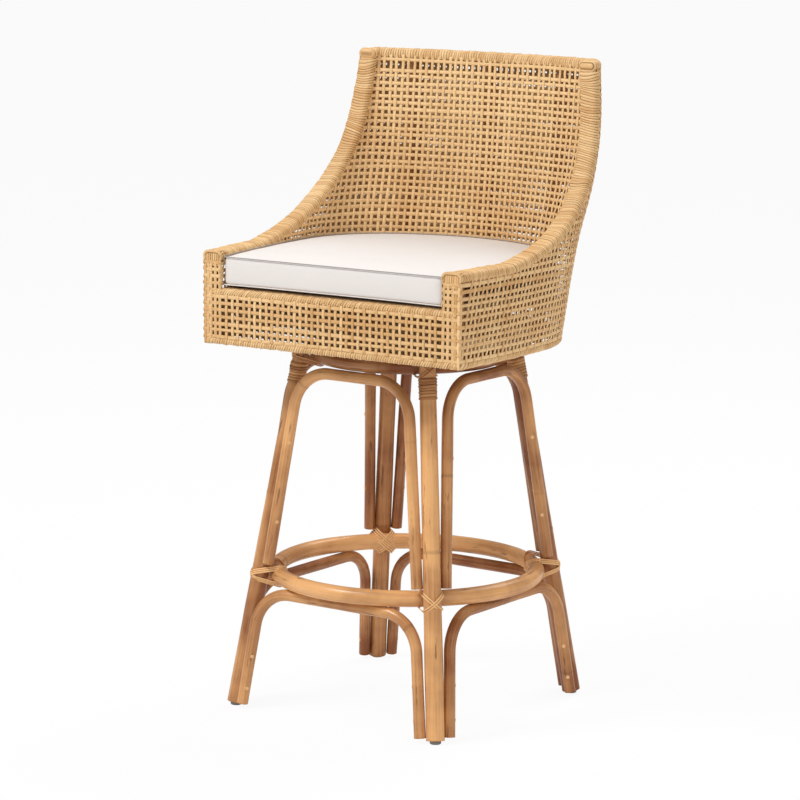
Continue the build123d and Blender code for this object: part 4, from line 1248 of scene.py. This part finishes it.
class STOOL_OT_cushion(bpy.types.Operator):
    """The loose box cushion: simulated cloth over its filling, with piping at both edges"""
    bl_idname = "stool.cushion"
    bl_label = "Cushion"

    def execute(self, context):
        c = colours()
        low, high = CUSHION_LOW + 0.0005, CUSHION_HIGH - 0.003
        edge = cushion_plan(0.0, 300)
        cushion = box_of_cloth(edge, low, high)
        inflate(cushion, edge, low, high)
        move_points(cushion, lifted(points_of(cushion)))
        linen = linen_material("linen", c.linen, 0.93)
        finish_piece(cushion, linen, "cushion", "cushion_fabric", "cushion")
        edge = cushion_plan(0.0005, 600)
        # the top piping is a real welt whose grey is painted shade along the seam; the bottom piping is plain
        # linen
        for label, z, material in (("top", high, linen_material("piping", c.piping_painted_shade, 0.9)),
                                   ("bottom", low + 0.001, linen)):
            path = lifted(np.column_stack([edge, np.full(len(edge), z)]))
            thing = cord(f"cushion_piping_{label}", path, sizes().piping / 2)
            finish_piece(thing, material, "cushion", "cushion_fabric")
        return {"FINISHED"}


class STOOL_OT_fittings(bpy.types.Operator):
    """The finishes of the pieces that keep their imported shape: boards, inner poles, swivel, plugs, glides"""
    bl_idname = "stool.fittings"
    bl_label = "Fittings"

    def execute(self, context):
        c = colours()
        uprights = [name for name in frame["nodes"]
                    if name.startswith(("front_post", "side_stay", "back_stay"))]
        dress(grain_material("inner_pole", c.pole, c.pole_deep, 0.45, (1, 1, 0.08), 220.0),
              "deck_ledger", "front_rail", "bottom_hoop", *uprights)
        dress(grain_material("plug", c.cane, c.pole, 0.4, (1, 1, 1), 300.0), "arch_plugs")
        dress(grain_material("base_board", between(c.pole, c.pole_deep), c.pole_deep, 0.4, (1, 1, 0.2), 60.0),
              "base_board")
        dress(grain_material("plywood", c.plywood, darker(c.plywood, 0.75), 0.6, (0.06, 1, 1), 120.0),
              "batten_front", "batten_rear", "deck_board")
        dress(grain_material("steel", c.steel, darker(c.steel, 0.8), 0.35, (1, 0.05, 1), 400.0, metallic=1.0),
              "swivel_lower_plate", "swivel_upper_plate", "swivel_pin", "ball_cage", "bearing_balls",
              "base_plate_screws", "seat_plate_screws")
        dress(grain_material("glide", c.glide, darker(c.glide, 0.8), 0.6, (1, 1, 1), 500.0), "foot_glides")
        return {"FINISHED"}


OPERATORS = (STOOL_OT_stage, STOOL_OT_poles, STOOL_OT_lashings, STOOL_OT_weave, STOOL_OT_wraps,
             STOOL_OT_cushion, STOOL_OT_fittings)


class STOOL_PT_panel(bpy.types.Panel):
    """The stool's pieces, sizes and colours"""
    bl_label = "Rattan bar stool"
    bl_space_type = "VIEW_3D"
    bl_region_type = "UI"
    bl_category = "Stool"

    def draw(self, context):
        for operator in OPERATORS:
            self.layout.operator(operator.bl_idname)
        for settings in (context.scene.stool_sizes, context.scene.stool_colours):
            box = self.layout.box()
            for name in settings.__annotations__:
                box.prop(settings, name)


CLASSES = (StoolSizes, StoolColours, *OPERATORS, STOOL_PT_panel)


def register():
    for cls in CLASSES:
        bpy.utils.register_class(cls)
    bpy.types.Scene.stool_sizes = PointerProperty(type=StoolSizes)
    bpy.types.Scene.stool_colours = PointerProperty(type=StoolColours)


def unregister():
    del bpy.types.Scene.stool_sizes, bpy.types.Scene.stool_colours
    for cls in reversed(CLASSES):
        bpy.utils.unregister_class(cls)


def main():
    register()
    for operator in OPERATORS:
        family, name = operator.bl_idname.split(".")
        if getattr(getattr(bpy.ops, family), name)() != {"FINISHED"}:
            raise RuntimeError(f"{operator.bl_idname} didn't finish")


if __name__ == "__main__":
    main()
